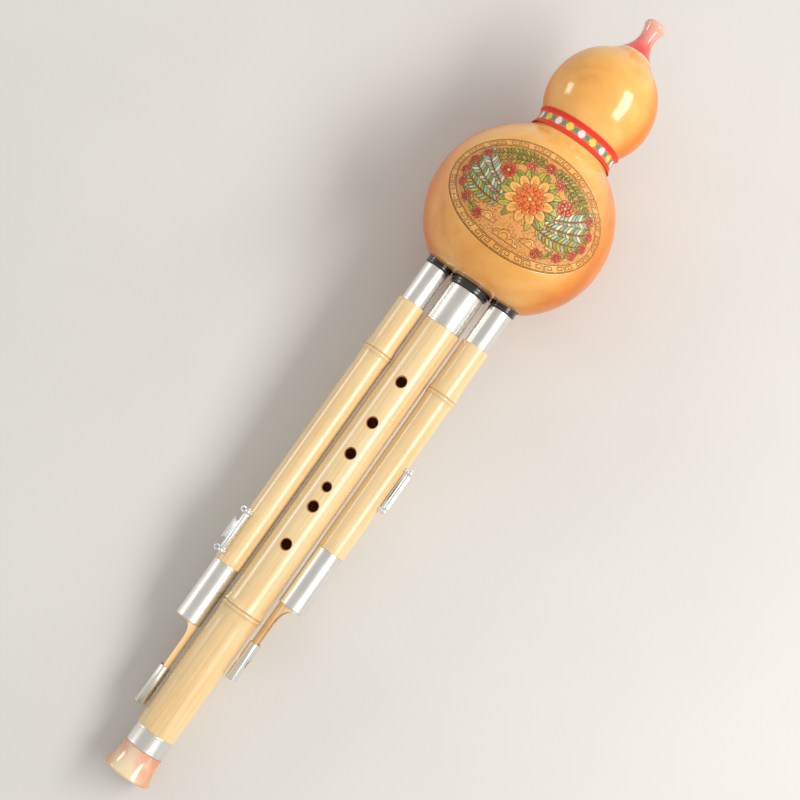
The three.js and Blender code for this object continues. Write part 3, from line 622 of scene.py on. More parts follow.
def bell_material():
    n = Nodes("bell_resin")
    along = along_piece(n, 0, BELL_LENGTH)
    across = n.math("MULTIPLY", n.part(n.coordinates(), 0), 1 / (BELL_MOUTH * MM))
    swirl = n.grain((60, 40, 60), 3, 0.45, 1.6)
    band = n.math("ADD", n.math("MULTIPLY_ADD", swirl, 0.9, -0.5), n.math("MULTIPLY_ADD", along, 0.7, 0.05))
    lean = n.math("MULTIPLY_ADD", n.math("ABSOLUTE", across), 0.3, n.math("MULTIPLY", across, 0.15))
    place = n.math("ADD", band, lean)
    colour = n.ramp(place, [
        (0.0, linear(232, 214, 164)), (0.3, linear(236, 216, 178)), (0.5, linear(234, 206, 176)),
        (0.68, linear(236, 176, 146)), (0.9, linear(228, 150, 120)),
    ])
    veil = n.grain((150, 60, 150), 4, 0.55, 2.2)
    colour = n.mix(n.ramp(veil, [(0.5, 0.0), (0.68, 0.6)]), colour, linear(242, 220, 196))
    # painted shade: the sides across the instrument turn orange-brown
    flank_shade = n.ramp(n.math("ABSOLUTE", across), [(0.5, 0.0), (0.84, 0.8)])
    colour = n.mix(flank_shade, colour, linear(216, 138, 84))
    return n.set(Base_Color=colour, Roughness=0.16, Coat_Weight=0.8, Coat_Roughness=0.07,
                 Subsurface_Weight=0.25, Subsurface_Scale=0.004, Subsurface_Radius=(1.0, 0.6, 0.4))


def mouth_material():
    n = Nodes("mouthpiece_resin")
    along = along_piece(n, MOUTH_SEAT, MOUTH_LENGTH)
    swirl = n.grain((130, 70, 130), 3, 0.5, 2.0)
    shifted = n.math("ADD", along, n.math("MULTIPLY_ADD", swirl, 0.55, -0.28))
    colour = n.ramp(shifted, [
        (0.0, linear(228, 66, 66)), (0.25, linear(238, 104, 98)),
        (0.55, linear(243, 158, 146)), (0.9, linear(244, 184, 160)),
    ])
    return n.set(Base_Color=colour, Roughness=0.15, Coat_Weight=0.8, Coat_Roughness=0.05,
                 Subsurface_Weight=0.25, Subsurface_Scale=0.003, Subsurface_Radius=(1.0, 0.4, 0.3))


def ribbon_material():
    """Woven trim. Its own coordinates run round the waist in millimetres and across the band from 0 to 1."""
    n = Nodes("woven_ribbon")
    uv = n.add("ShaderNodeUVMap", "UV", {}, uv_map="band")
    along, across = n.part(uv, 0), n.part(uv, 1)
    low_edge, high_edge = RIBBON_PATTERN
    middle = n.math("ABSOLUTE", n.math("SUBTRACT", across, (low_edge + high_edge) / 2))
    edge = n.math("GREATER_THAN", middle, (high_edge - low_edge) / 2)
    half_period = math.pi * WAIST_RADIUS / RIBBON_REPEATS
    place = n.math("PINGPONG", n.math("ADD", along, half_period - RIBBON_START), half_period)
    half_white, half_yellow = half_period * 0.27, half_period * 0.3
    green_middle = (half_yellow + half_period - half_white) / 2
    half_green = green_middle - half_yellow
    from_white = n.math("MULTIPLY", n.math("SUBTRACT", half_period, place), 1 / half_white)
    from_yellow = n.math("MULTIPLY", place, 1 / half_yellow)
    from_middle = n.math("ABSOLUTE", n.math("SUBTRACT", place, green_middle))
    from_green = n.math("MULTIPLY", from_middle, 1 / half_green)
    nearest = n.math("MINIMUM", from_white, n.math("MINIMUM", from_yellow, from_green))
    is_white = n.math("GREATER_THAN", place, half_period - half_white)
    is_yellow = n.math("LESS_THAN", place, half_yellow)
    steep = n.math("MULTIPLY_ADD", n.math("MAXIMUM", is_white, is_yellow), -1.7, 5.0)
    motif = n.math("LESS_THAN", n.math("ADD", nearest, n.math("MULTIPLY", middle, steep)), 1.12)
    white, green, yellow = linear(248, 244, 244), linear(92, 164, 116), linear(250, 226, 92)
    colour = n.mix(is_yellow, n.mix(is_white, green, white), yellow)
    filling = n.mix(is_white, linear(240, 120, 84), linear(246, 128, 140))
    colour = n.mix(motif, filling, colour)
    stripe = n.math("GREATER_THAN", n.math("FRACT", n.math("MULTIPLY", along, 1 / STRIPE)), 0.7)
    red = n.mix(stripe, linear(252, 58, 32), linear(214, 30, 24))
    stitch = n.math("COMPARE", middle, 0.4, 0.04)
    red = n.mix(stitch, linear(250, 62, 34), red)
    colour = n.mix(edge, colour, red)
    threads = n.math("SINE", n.math("MULTIPLY", along, 2 * math.pi / THREAD))
    picks = n.math("SINE", n.math("MULTIPLY", across, 2 * math.pi * RIBBON_WIDTH / PICK))
    weave = n.math("MULTIPLY", threads, picks)
    shade = n.ramp(n.math("MULTIPLY_ADD", weave, 0.5, 0.5), [(0.0, 0.82), (1.0, 1.0)])
    colour = n.mix(1.0, colour, shade, "MULTIPLY")
    normal = n.bump(weave, 0.5, 0.00012)
    return n.set(Base_Color=colour, Roughness=0.7, Normal=normal, Sheen_Weight=0.12, Sheen_Roughness=0.4)


def plain_material(name, dark, light, roughness, scale=90, metallic=0.0, bump=0.0):
    n = Nodes(name)
    wave = n.grain((scale, scale, scale), 4, 0.55)
    colour = n.ramp(wave, [(0.3, dark), (0.7, light)])
    rough = n.ramp(wave, [(0.3, roughness), (0.7, min(1.0, roughness + 0.12))])
    values = {"Base_Color": colour, "Roughness": rough, "Metallic": metallic}
    if bump:
        values["Normal"] = n.bump(wave, bump, 0.0001)
    return n.set(**values)


BAMBOO_SEEDS = {"main": 0, "left": 3, "right": 6}
bamboo = {side: bamboo_material(f"bamboo_{side}", seed) for side, seed in BAMBOO_SEEDS.items()}
cut_bamboo = plain_material("cut_bamboo", linear(164, 104, 56), linear(212, 154, 96), 0.6, 240, bump=0.3)
ferrule_metal = metal_material("polished_band", (0.86, 0.84, 0.80), 0.32, 0.12)
chrome = metal_material("bright_chrome", (0.93, 0.94, 0.95), 0.34, 0.04)
black = black_material()
bell_resin = bell_material()
mouth_resin = mouth_material()
ribbon_cloth = ribbon_material()
gourd_skin = gourd_material()
tube_resin = plain_material("tube_resin", linear(48, 32, 24), linear(70, 48, 36), 0.42)
brass = plain_material("reed_brass", linear(186, 142, 66), linear(216, 174, 92), 0.28, 300, metallic=1.0)
rubber = plain_material("seal_rubber", linear(22, 22, 22), linear(40, 40, 40), 0.75, 200)
pad_leather = plain_material("pad_leather", linear(222, 206, 178), linear(242, 230, 208), 0.7, 700, bump=0.4)

INNER = {"reed_tube": tube_resin, "reed_plug": tube_resin, "reed": brass, "seal": rubber}
for side in ("main", "left", "right"):
    for part, material in INNER.items():
        node = frame["nodes"][f"{side}_{part}"]
        node.data.materials.clear()
        node.data.materials.append(material)


# Main pipe

def swelling(station, node, height):
    """The ring of a bamboo node: the tube flares towards it, and a fine groove parts its two ridges."""
    along = station - node
    flare = 0.75 * math.exp(-(along / (4.4 if along < 0 else 3.4)) ** 2)
    ridge = 0.28 * math.exp(-((along + 1.0) / 0.8) ** 2) + 0.24 * math.exp(-((along - 0.9) / 0.8) ** 2)
    groove = 0.42 * math.exp(-(along / 0.32) ** 2)
    return height * min(max(flare + ridge - groove, 0), 1)


def mark_node(obj, node):
    """Marks the dark line round the groove of a node."""
    along = read_points(obj)[:, 1] - node
    mark(obj, "scar", 0.5 * np.exp(-(along / 0.34) ** 2) + 0.2 * np.exp(-((along + 2.2) / 0.6) ** 2))


def tube_outline(low, high, low_radius, high_radius, node, node_height, bore, turned_low, turned_high):
    """The wall of a bamboo tube, with a turned length at each end that its metal band covers."""
    (low_end, low_turned), (high_end, high_turned) = turned_low, turned_high
    stations = [*np.arange(low, high, 2), *np.arange(node - 4, node + 4, 0.25), high]
    stations = sorted({round(s, 3) for s in stations})
    outline = [(bore, low_end), (low_turned, low_end), (low_turned, low)]
    for station in stations:
        share = (station - low) / (high - low)
        radius = low_radius + (high_radius - low_radius) * share + swelling(station, node, node_height)
        if station in (stations[0], stations[-1]):
            radius -= 0.12
        outline.append((radius, station))
    outline += [(high_turned, high), (high_turned, high_end), (bore, high_end)]
    count = int((high_end - low_end) / 8)
    outline += [(bore, high_end - (high_end - low_end) * i / count) for i in range(1, count)]
    return outline


def dark_inside(obj, bore, x=0.0):
    """Gives the bore and the walls of the holes the look of cut bamboo."""
    for polygon in obj.data.polygons:
        centre, normal = polygon.center, polygon.normal
        distance = math.hypot(centre.x - x, centre.z)
        out = ((centre.x - x) * normal.x + centre.z * normal.z) / max(distance, 1e-6)
        if distance < bore + FIT or (out < 0.55 and abs(normal.y) < 0.95):
            polygon.material_index = 1


def make_main_pipe():
    length = MAIN_HIGH - MAIN_LOW
    outline = tube_outline(
        MAIN_LOW + SEAM, MAIN_HIGH - SEAM, MAIN_LOW_RADIUS, MAIN_HIGH_RADIUS,
        MAIN_NODE, MAIN_NODE_HEIGHT, MAIN_BORE,
        (BELL_LENGTH + FIT, MAIN_LOWER_FERRULE - FERRULE_WALL - FIT),
        (MAIN_TOP, MAIN_UPPER_FERRULE - FERRULE_WALL - FIT),
    )
    pipe = lathe("melody_pipe_bamboo", outline, PIPE_AROUND)
    cutters = []

    def hole(radius, share, turn):
        """A hole with a bevelled edge, at a share of the pipe's length from its upper end."""
        station = MAIN_HIGH - share * length
        surface = MAIN_LOW_RADIUS + (MAIN_HIGH_RADIUS - MAIN_LOW_RADIUS) * (station - MAIN_LOW) / length
        cutters.append(radial(radius, 0, surface + 4, station, turn=turn))
        cutters.append(radial(radius - 0.05, surface - BEVEL_DEPTH, BEVEL_LENGTH, station,
                              turn=turn, top_radius=radius + 1))

    for radius, shares, turn in (
            (HOLE_RADIUS, HOLE_SHARES, 0), (SMALL_HOLE_RADIUS, [SMALL_HOLE_SHARE], 0),
            (HOLE_RADIUS, [THUMB_SHARE], math.pi), (OUTLET_RADIUS, OUTLET_SHARES, math.pi)):
        for share in shares:
            hole(radius, share, turn)
    boolean(pipe, cutters)
    resharpen(pipe, BAMBOO_SHARP)
    dark_inside(pipe, MAIN_BORE)
    mark_node(pipe, MAIN_NODE)
    finish_piece(pipe, "melody_pipe", ["main_pipe"], "bamboo", bamboo["main"], cut_bamboo)


def make_ferrule(name, body, node, radius, low, high, x=0.0):
    """A rolled metal band with a slightly raised lip at each end."""
    inner = radius - FERRULE_WALL
    outline = [
        (inner, low), (radius - 0.02, low), (radius, low + 0.9), (radius - 0.05, low + 1.15),
        (radius - 0.05, high - 1.15), (radius, high - 0.9), (radius - 0.02, high), (inner, high),
    ]
    outline = rounded(outline, [0.05, 0.22, 0.15, 0.15, 0.15, 0.15, 0.22, 0.05], 3)
    band = lathe(name, outline, PIPE_AROUND, x)
    finish_piece(band, body, [node], "polished_steel", ferrule_metal)


def make_main_ferrules():
    make_ferrule("melody_lower_band", "melody_pipe", "main_lower_ferrule",
                 MAIN_LOWER_FERRULE, BELL_LENGTH + SEAM, MAIN_LOW)
    make_ferrule("melody_upper_band", "melody_pipe", "main_upper_ferrule",
                 MAIN_UPPER_FERRULE, MAIN_HIGH, MAIN_TOP)


def make_bell():
    rim = (BELL_MOUTH - BELL_RIM, BELL_RIM)
    outline = arc(rim, BELL_RIM, BELL_RIM, np.linspace(-math.pi / 2, 0, 7))
    for share in np.linspace(0.05, 1, 14):
        radius = BELL_TOP + (BELL_MOUTH - BELL_TOP) * (1 - share) ** BELL_CURVE
        outline.append((radius, BELL_RIM + (BELL_LENGTH - BELL_RIM) * share))
    spigot = MAIN_BORE - FIT
    top = BELL_LENGTH + BELL_SPIGOT_LENGTH
    outline += [(spigot, BELL_LENGTH), (spigot, top), (BELL_THROAT, top)]
    inside = BELL_MOUTH - BELL_WALL
    for share in np.linspace(1, 0, 14):
        outline.append((BELL_THROAT + (inside - BELL_THROAT) * (1 - share) ** 2, share * BELL_LENGTH))
    bell = lathe("bell_resin_end", outline, PIPE_AROUND, sharp=RESIN_SHARP)
    finish_piece(bell, "melody_pipe", ["bell_end"], "bell_resin", bell_resin)


def make_socket(name, node, bore, wall, collar, radii, around, x=0.0):
    """A sleeve let into the gourd. radii round off the corners of its collar's outline."""
    low, high = collar[0][1], collar[-1][1]
    sleeve, top = bore + wall, high + SOCKET_DEPTH
    outline = [(bore, low), *collar, (sleeve, high), (sleeve, top), (bore, top)]
    socket = lathe(name, rounded(outline, [0.3, *radii, 0.1, 0.3, 0.3], 4), around, x)
    finish_piece(socket, "gourd", [node], "black_resin", black)


def make_sockets():
    low = MAIN_TOP + FIT
    middle = low + MAIN_COLLAR[1]
    collar = [(MAIN_COLLAR[0], low), (MAIN_COLLAR[0], middle), (MAIN_FLANGE[0], middle),
              (MAIN_FLANGE[0], middle + MAIN_FLANGE[1])]
    make_socket("melody_socket", "main_socket", MAIN_TENON + FIT, MAIN_SOCKET_WALL, collar,
                (0.5, 0.2, 0.5, 0.3), PIPE_AROUND)
    low = DRONE_TOP + FIT
    foot, flange, height = DRONE_COLLAR
    collar = [(foot, low), (foot + 0.1, low + 1.2), (foot - 0.1, low + 1.5), (flange, low + height)]
    for side, drone in DRONES.items():
        make_socket(f"{side}_drone_socket", f"{side}_socket", DRONE_TENON + FIT, DRONE_SOCKET_WALL, collar,
                    (0.4, 0.15, 0.15, 0.3), SOCKET_AROUND, drone_x(drone))


# Drones

def drone_x(drone):
    return -drone["towards"] * DRONE_OFFSET


def strip_low(drone):
    """The station at which the strip starts, above the banded tail."""
    return drone["tail"] + TAIL_LENGTH + FIT


def strip_cutter(drone):
    """The space on the outer side of the strip, as a prism along Z over (x, u)."""
    side = drone["towards"]
    strip = DRONE_TURNED - drone["strip"]
    outside = -DRONE_LOWER_FERRULE - 3
    below, above = strip_low(drone) - 3, drone["low"] - FIT
    width, height = drone["round"]
    points = [(outside, below), (strip, below)]
    points += curve_points((strip, above - height), (strip, above), (strip - width, above), 14)
    points.append((outside, above))
    return prism_mesh([(side * (x - DRONE_OFFSET), u) for x, u in points], -CUT_HALF, CUT_HALF)


def tail_oval(drone, inset, stations):
    """Rings of an oval that lies close beside the main pipe, one at each station."""
    middle = drone["towards"] * (TAIL_REACH - TAIL_DEPTH / 2 - DRONE_OFFSET)
    oval = arc((middle, 0), TAIL_DEPTH / 2 - inset, TAIL_HEIGHT / 2 - inset, full_turn(OVAL_AROUND))
    return [(x, u, z) for u in stations for x, z in oval]


def tassel_cutter(drone):
    verts, faces = cylinder_mesh(TASSEL_HOLE, 2 * CUT_HALF, 36)
    place = Matrix.Translation((drone_x(drone) - CUT_HALF, drone["tail"] + TAIL_LENGTH / 2, 0))
    return turned(verts, place @ Matrix.Rotation(math.pi / 2, 4, "Y")), faces


def key_turn(drone):
    """The turn that brings a key from over +Z to its place on the pipe."""
    return -drone["towards"] * math.radians(90 - (drone["rod_angle"] - KEY_SPREAD))


def make_drone_pipe(side, drone):
    x = drone_x(drone)
    outline = tube_outline(
        drone["high"] + SEAM, DRONE_HIGH - SEAM, DRONE_LOW_RADIUS, DRONE_HIGH_RADIUS,
        DRONE_NODE, DRONE_NODE_HEIGHT, DRONE_BORE,
        (strip_low(drone), DRONE_TURNED), (DRONE_TOP, DRONE_UPPER_FERRULE - FERRULE_WALL - FIT),
    )
    pipe = lathe(f"{side}_drone_bamboo", outline, DRONE_AROUND, x)
    boolean(pipe, [strip_cutter(drone), radial(TONE_HOLE, 0, 14, drone["key"], x, key_turn(drone))])
    tail = tail_oval(drone, FERRULE_WALL + FIT, (drone["tail"] + FIT / 2, strip_low(drone) + FIT))
    boolean(pipe, [(tail, tube_faces(OVAL_AROUND))], "UNION")
    boolean(pipe, [tassel_cutter(drone)])
    resharpen(pipe, BAMBOO_SHARP)
    dark_inside(pipe, DRONE_BORE, x)
    mark_node(pipe, DRONE_NODE)
    finish_piece(pipe, f"{side}_drone", [f"{side}_pipe"], "bamboo", bamboo[side], cut_bamboo)


def make_tail_ferrule(side, drone):
    """An oval metal band round the tail, with the tassel's hole through it."""
    ends = (drone["tail"], drone["tail"] + TAIL_LENGTH)
    verts = tail_oval(drone, FERRULE_WALL, ends[:1]) + tail_oval(drone, 0, ends)
    verts += tail_oval(drone, FERRULE_WALL, ends[1:])
    band = new_object(f"{side}_tail_band", verts, ring_faces(4, OVAL_AROUND))
    outward(band)
    boolean(band, [tassel_cutter(drone)])
    soften(band, 0.1)
    finish_piece(band, f"{side}_drone", [f"{side}_tail_ferrule"], "polished_steel", ferrule_metal)


def soften(obj, width):
    modifier = obj.modifiers.new("soft", "BEVEL")
    modifier.width = width
    modifier.segments = 2
    modifier.limit_method = "ANGLE"
    modifier.angle_limit = math.radians(SHARP)
    modifier.harden_normals = False
    apply_modifiers(obj)
    resharpen(obj, SOFTENED_SHARP)


def make_drone_bands(side, drone):
    for end, radius, low, high in (("upper", DRONE_UPPER_FERRULE, DRONE_HIGH, DRONE_TOP),
                                   ("lower", DRONE_LOWER_FERRULE, drone["low"], drone["high"])):
        make_ferrule(f"{side}_{end}_band", f"{side}_drone", f"{side}_{end}_ferrule",
                     radius, low, high, drone_x(drone))
    make_tail_ferrule(side, drone)


# Drone keys, each made with its cup over +Z and then turned round its pipe

def sector_mesh(inner, outer, from_angle, to_angle, low, high, side, steps=24, rows=1):
    """A part of a tube's wall. Angles run from +Z towards the hinge rod."""
    turns = np.linspace(from_angle, to_angle, steps + 1)
    stations = np.linspace(low, high, rows + 1)
    verts, faces = [], []
    for radius in (inner, outer):
        for station in stations:
            verts += [(side * radius * math.sin(t), station, radius * math.cos(t)) for t in turns]
    wide = steps + 1
    layer = wide * (rows + 1)
    for r in range(rows):
        for s in range(steps):
            a = r * wide + s
            faces.append((a, a + 1, a + 1 + wide, a + wide))
            faces.append((layer + a, layer + a + wide, layer + a + 1 + wide, layer + a + 1))
    for s in range(steps):
        top = rows * wide + s
        faces.append((s, layer + s, layer + s + 1, s + 1))
        faces.append((top, top + 1, layer + top + 1, layer + top))
    for r in range(rows):
        a, b = r * wide, r * wide + steps
        faces.append((a, a + wide, layer + a + wide, layer + a))
        faces.append((b, layer + b, layer + b + wide, b + wide))
    return verts, faces


def ball_mesh(radius, centre, rings=12, around=20):
    verts = [(0, 0, -radius)]
    for i in range(1, rings):
        tilt = -math.pi / 2 + math.pi * i / rings
        across, height = radius * math.cos(tilt), radius * math.sin(tilt)
        verts += [(across * math.cos(t), across * math.sin(t), height) for t in full_turn(around)]
    verts.append((0, 0, radius))
    faces = [(0, 1 + (k + 1) % around, 1 + k) for k in range(around)]
    for i in range(rings - 2):
        for k in range(around):
            a, b = 1 + i * around + k, 1 + i * around + (k + 1) % around
            faces.append((a, b, b + around, a + around))
    top = len(verts) - 1
    last = 1 + (rings - 2) * around
    faces += [(last + k, last + (k + 1) % around, top) for k in range(around)]
    return np.array(verts) + centre, faces


def ring_mesh(radius, wire, centre, around=28, section=12):
    """A wire ring in the plane of the pipe's axis and the way up."""
    verts = []
    for t in full_turn(around):
        for s in full_turn(section):
            reach = radius + wire * math.cos(s)
            verts.append((wire * math.sin(s), reach * math.cos(t), reach * math.sin(t)))
    return np.array(verts) + centre, ring_faces(around, section)


def rod_mesh(radius, low, high, x, z, around=24):
    """A rod along the pipe, from one station to another."""
    verts, faces = cylinder_mesh(radius, high - low, around)
    place = Matrix.Translation((x, low, z)) @ Matrix.Rotation(-math.pi / 2, 4, "X")
    return turned(verts, place), faces


def key_sizes(drone):
    """Distances from the pipe's axis, the hinge's place and the angle between cup and hinge."""
    low, high = drone["high"] + FIT, DRONE_HIGH - FIT
    share = (drone["key"] + KEY_LENGTH / 2 - low) / (high - low)
    inner = DRONE_LOW_RADIUS + (DRONE_HIGH_RADIUS - DRONE_LOW_RADIUS) * share + FIT
    rod = inner + KEY_ROD_HEIGHT
    spread = math.radians(KEY_SPREAD)
    seat = inner + KEY_THICKNESS + SEAT_HEIGHT
    return {
        "inner": inner, "outer": inner + KEY_THICKNESS, "rod": rod, "spread": spread, "seat": seat,
        "x": drone["towards"] * rod * math.sin(spread), "z": rod * math.cos(spread),
        "pad": seat + FIT, "cup": seat + 2 * FIT, "top": seat + 2 * FIT + CUP[2],
    }


def key_piece(side, drone, name, node, body, parts, cutters=(), bevel=0.1, look=("chrome_keys", chrome)):
    """Joins solids, cuts holes, softens the edges and puts the piece in its place on the pipe."""
    obj = new_object(f"{side}_{name}", *parts[0])
    outward(obj)
    if parts[1:]:
        boolean(obj, parts[1:], "UNION")
    if cutters:
        boolean(obj, cutters)
    resharpen(obj, KEY_SHARP)
    if bevel:
        soften(obj, bevel)
    place = Matrix.Translation((drone_x(drone), drone["key"], 0)) @ Matrix.Rotation(key_turn(drone), 4, "Y")
    obj.data.transform(place)
    finish_piece(obj, f"{side}_{body}", [f"{side}_{node}"], *look)
    return obj


def make_key(side, drone):
    key = key_sizes(drone)
    inner, outer, towards, foot = key["inner"], key["outer"], drone["towards"], key["inner"] + FIT
    seat_angle = math.asin((TONE_HOLE + 2 * SEAT_RING) / inner)
    post_angle = math.asin(KEY_POST_RADIUS / inner)
    half = KEY_LENGTH / 2
    parts = [
        sector_mesh(inner, outer, -seat_angle, key["spread"], -half, half, towards),
        radial(TONE_HOLE + SEAT_RING, foot, key["seat"] - foot, 0),
    ]
    for station in (-KEY_POSTS / 2, KEY_POSTS / 2):
        verts, faces = cylinder_mesh(KEY_POST_RADIUS, key["rod"] - foot, 20)
        lift = Matrix.Rotation(towards * key["spread"], 4, "Y") @ Matrix.Translation((0, 0, foot))
        parts.append((turned(verts, Matrix.Translation((0, station, 0)) @ lift), faces))
        parts.append(sector_mesh(inner + LUG_STEP, outer + LUG_STEP, 0, key["spread"] + post_angle,
                                 station - LUG, station + LUG, towards))
        parts.append(ball_mesh(KEY_BALL, (key["x"], station, key["z"])))
        parts.append(ring_mesh(*KEY_RING, (0, station, inner + KEY_RING_HEIGHT)))
    bore = rod_mesh(KEY_ROD + FIT, -ROD_BORE_HALF, ROD_BORE_HALF, key["x"], key["z"])
    hole = radial(TONE_HOLE, 0, key["top"], 0)
    key_piece(side, drone, "key_saddle", "key_mount", "drone", parts, [hole, bore])
    rod = rod_mesh(KEY_ROD, -KEY_ROD_LENGTH / 2, KEY_ROD_LENGTH / 2, key["x"], key["z"])
    key_piece(side, drone, "hinge_rod", "key_rod", "drone", [rod], bevel=0.15)
    make_lever(side, drone, key, bore)
    make_pad(side, drone, key)


def leaf_cutter():
    """A leaf-shaped prism along +Z."""
    half, width = LEAF[0] / 2, LEAF[1]
    right = curve_points((0, -half), (width, 0), (0, half), 20)
    left = curve_points((0, half), (-width, 0), (0, -half), 20)
    return prism_mesh(right[:-1] + left[:-1], 0, 20)


def make_lever(side, drone, key, bore):
    """The flap: a barrel on the rod, an arm, and a cup under a leaf."""
    length, width, thickness = LEAF
    cup_radius, cup_wall, _ = CUP
    top, inner, towards = key["top"], key["top"] - thickness, drone["towards"]
    reach = math.asin(width / 2 / inner)
    sheet = sector_mesh(inner, top, -reach, reach, -length / 2, length / 2, towards, rows=12)
    leaf = new_object("leaf", *sheet)
    outward(leaf)
    boolean(leaf, [leaf_cutter()], "INTERSECT")
    leaf_mesh = ([tuple(v.co) for v in leaf.data.vertices], [tuple(p.vertices) for p in leaf.data.polygons])
    bpy.data.objects.remove(leaf)
    barrel_half = KEY_POSTS / 2 - KEY_BALL - FIT
    barrel = rod_mesh(KEY_BARREL, -barrel_half, barrel_half, key["x"], key["z"], 36)
    arm = sector_mesh(inner, top, 0, key["spread"], -ARM_WIDTH / 2, ARM_WIDTH / 2, towards)
    cup = radial(cup_radius, key["cup"], top - thickness / 2 - key["cup"], 0)
    recess = radial(cup_radius - cup_wall, 0, key["pad"] + PAD + FIT, 0)
    parts = [barrel, arm, cup, leaf_mesh]
    key_piece(side, drone, "key_flap", "key_lever", "key", parts, [recess, bore], bevel=0.12)


def make_pad(side, drone, key):
    """A leather disc with a soft rounded edge and a slightly crowned face."""
    radius = CUP[0] - CUP[1] - FIT
    low, high = key["pad"], key["pad"] + PAD
    profile = [
        (0.02, low), (radius * 0.6, low + 0.02), (radius - 0.35, low + 0.1), (radius - 0.08, low + 0.32),
        (radius, low + 0.55), (radius, high - 0.1), (radius - 0.1, high), (0.02, high),
    ]
    verts, faces = lathe_mesh(profile, full_turn(40))
    pad = key_piece(side, drone, "leather_pad", "key_pad", "key", [(verts[:, [0, 2, 1]], faces)],
                    bevel=0, look=("pad_leather", pad_leather))


# Gourd

def gourd_outline(inset, fine):
    """Outside of the gourd from its seat to its neck, or the wind chamber's wall at an inset."""
    lower, upper = LOWER_RADIUS - inset, UPPER_RADIUS - inset
    waist_x = WAIST_RADIUS + WAIST_ROUND
    base = SEAT + (GOURD_BASE if inset else 0)
    start = math.radians(BASE_START)
    lower_turn = math.atan2(waist_x, WAIST - LOWER_BULB)
    upper_turn = math.atan2(waist_x, UPPER_BULB - WAIST)
    points = arc((0, LOWER_BULB), lower, lower, np.linspace(start, math.pi / 2 - lower_turn, fine * 4))
    corner = (points[0][0] + (points[0][1] - base) * math.tan(start), base)
    edge = (min(SEAT_RADIUS, corner[0] - inset), base)
    before = curve_points(edge, corner, points[0], 10)[:-1]
    turns = np.linspace(math.pi * 3 / 2 - lower_turn, math.pi / 2 + upper_turn, fine * 2)[1:]
    points += arc((waist_x, WAIST), WAIST_ROUND + inset, WAIST_ROUND + inset, turns)
    points += arc((0, UPPER_BULB), upper, upper, np.linspace(upper_turn - math.pi / 2, 0, fine)[1:])
    crown_end = math.acos(NECK_START / UPPER_RADIUS)
    points += arc((0, UPPER_BULB), upper, CROWN - inset, np.linspace(0, crown_end, fine)[1:])
    return before, points


def oval_basis():
    """Unit vectors right, up and out at the middle of the medallion."""
    turn = math.radians(OVAL_TURN)
    tilt = math.asin((OVAL_STATION - LOWER_BULB) / LOWER_RADIUS)
    out = np.array([math.sin(turn) * math.cos(tilt), math.sin(tilt), math.cos(turn) * math.cos(tilt)])
    right = np.array([math.cos(turn), 0, -math.sin(turn)])
    return right, np.cross(out, right), out, tilt


def skin_place(co):
    """Places along the skin, right and up from the medallion's middle, and distances from the bulb's."""
    right, up, out, _ = oval_basis()
    here = co - np.array([0, LOWER_BULB, 0])
    x, y, z = here @ right, here @ up, here @ out
    across = np.hypot(x, y)
    scale = LOWER_RADIUS * np.arctan2(across, z) / np.maximum(across, 1e-9)
    return x * scale, y * scale, np.linalg.norm(here, axis=1)


def soft(distance, width=0.22):
    """1 inside a shape and 0 outside it, with a short slope between them."""
    return np.clip(0.5 - distance / width, 0, 1)


class Carving:
    """Relief and paint of the medallion, stamped shape by shape on the points of the skin."""

    def __init__(self, s, t):
        self.s, self.t = s, t
        self.frame = oval_distance(s, t, BORDER)
        self.height, self.ground, self.line, self.cover = (np.zeros(len(s)) for _ in range(4))
        self.paint = np.zeros((len(s), 3))

    def cut(self, band, depth, line=1.0):
        """Cuts a band into the skin and darkens it."""
        self.line = np.maximum(self.line, band * line)
        self.height = self.height - GROOVE * depth * band

    def groove(self, distance, width):
        band = soft(np.abs(distance) - width / 2, 0.2)
        self.line = np.maximum(self.line, band)
        self.height = np.minimum(self.height, -GROOVE * band - RECESS * 0.3 * band)

    def shape(self, distance, colour, lift, cover=0.9, width=0.3):
        """A raised shape where distance is below 0, with a cut line round it. It ends at the frame."""
        distance = np.maximum(distance, self.frame)
        inside = soft(distance)
        self.height = self.height * (1 - inside) + lift * inside
        self.ground = self.ground * (1 - inside)
        self.line = self.line * (1 - inside)
        self.cover = self.cover * (1 - inside)
        if colour is not None:
            self.paint = self.paint * (1 - inside)[:, None] + np.array(colour) * inside[:, None]
            self.cover = np.maximum(self.cover, cover * inside)
        self.groove(distance, width)

    def stroke(self, start, end, width, corner=None):
        """A cut line from start to end, bent towards a corner."""
        corner = (np.asarray(start) + end) / 2 if corner is None else corner
        distance = path_distance(self.s, self.t, curve_points(start, corner, end, 10))
        self.cut(soft(np.maximum(distance - width / 2, self.frame), 0.2), 0.7)


def path_distance(s, t, points):
    """Distance from the nearest stretch of an open path."""
    nearest = np.full(len(s), 1e9)
    for (x0, y0), (x1, y1) in zip(points[:-1], points[1:]):
        dx, dy = x1 - x0, y1 - y0
        share = np.clip(((s - x0) * dx + (t - y0) * dy) / max(dx * dx + dy * dy, 1e-9), 0, 1)
        nearest = np.minimum(nearest, np.hypot(s - x0 - share * dx, t - y0 - share * dy))
    return nearest


def grown(s, t, foot, turn):
    """Places along a leaf or petal that grows from its foot at an angle, and to its side."""
    x, y = s - foot[0], t - foot[1]
    return x * math.cos(turn) + y * math.sin(turn), y * math.cos(turn) - x * math.sin(turn)


def leaf_distance(s, t, foot, turn, length, width):
    """Below 0 inside a pointed leaf that grows from its foot."""
    x, y = grown(s, t, foot, turn)
    half = width / 2
    radius = (length * length / 4 + half * half) / (2 * half)
    return np.hypot(x - length / 2, np.abs(y) + radius - half) - radius


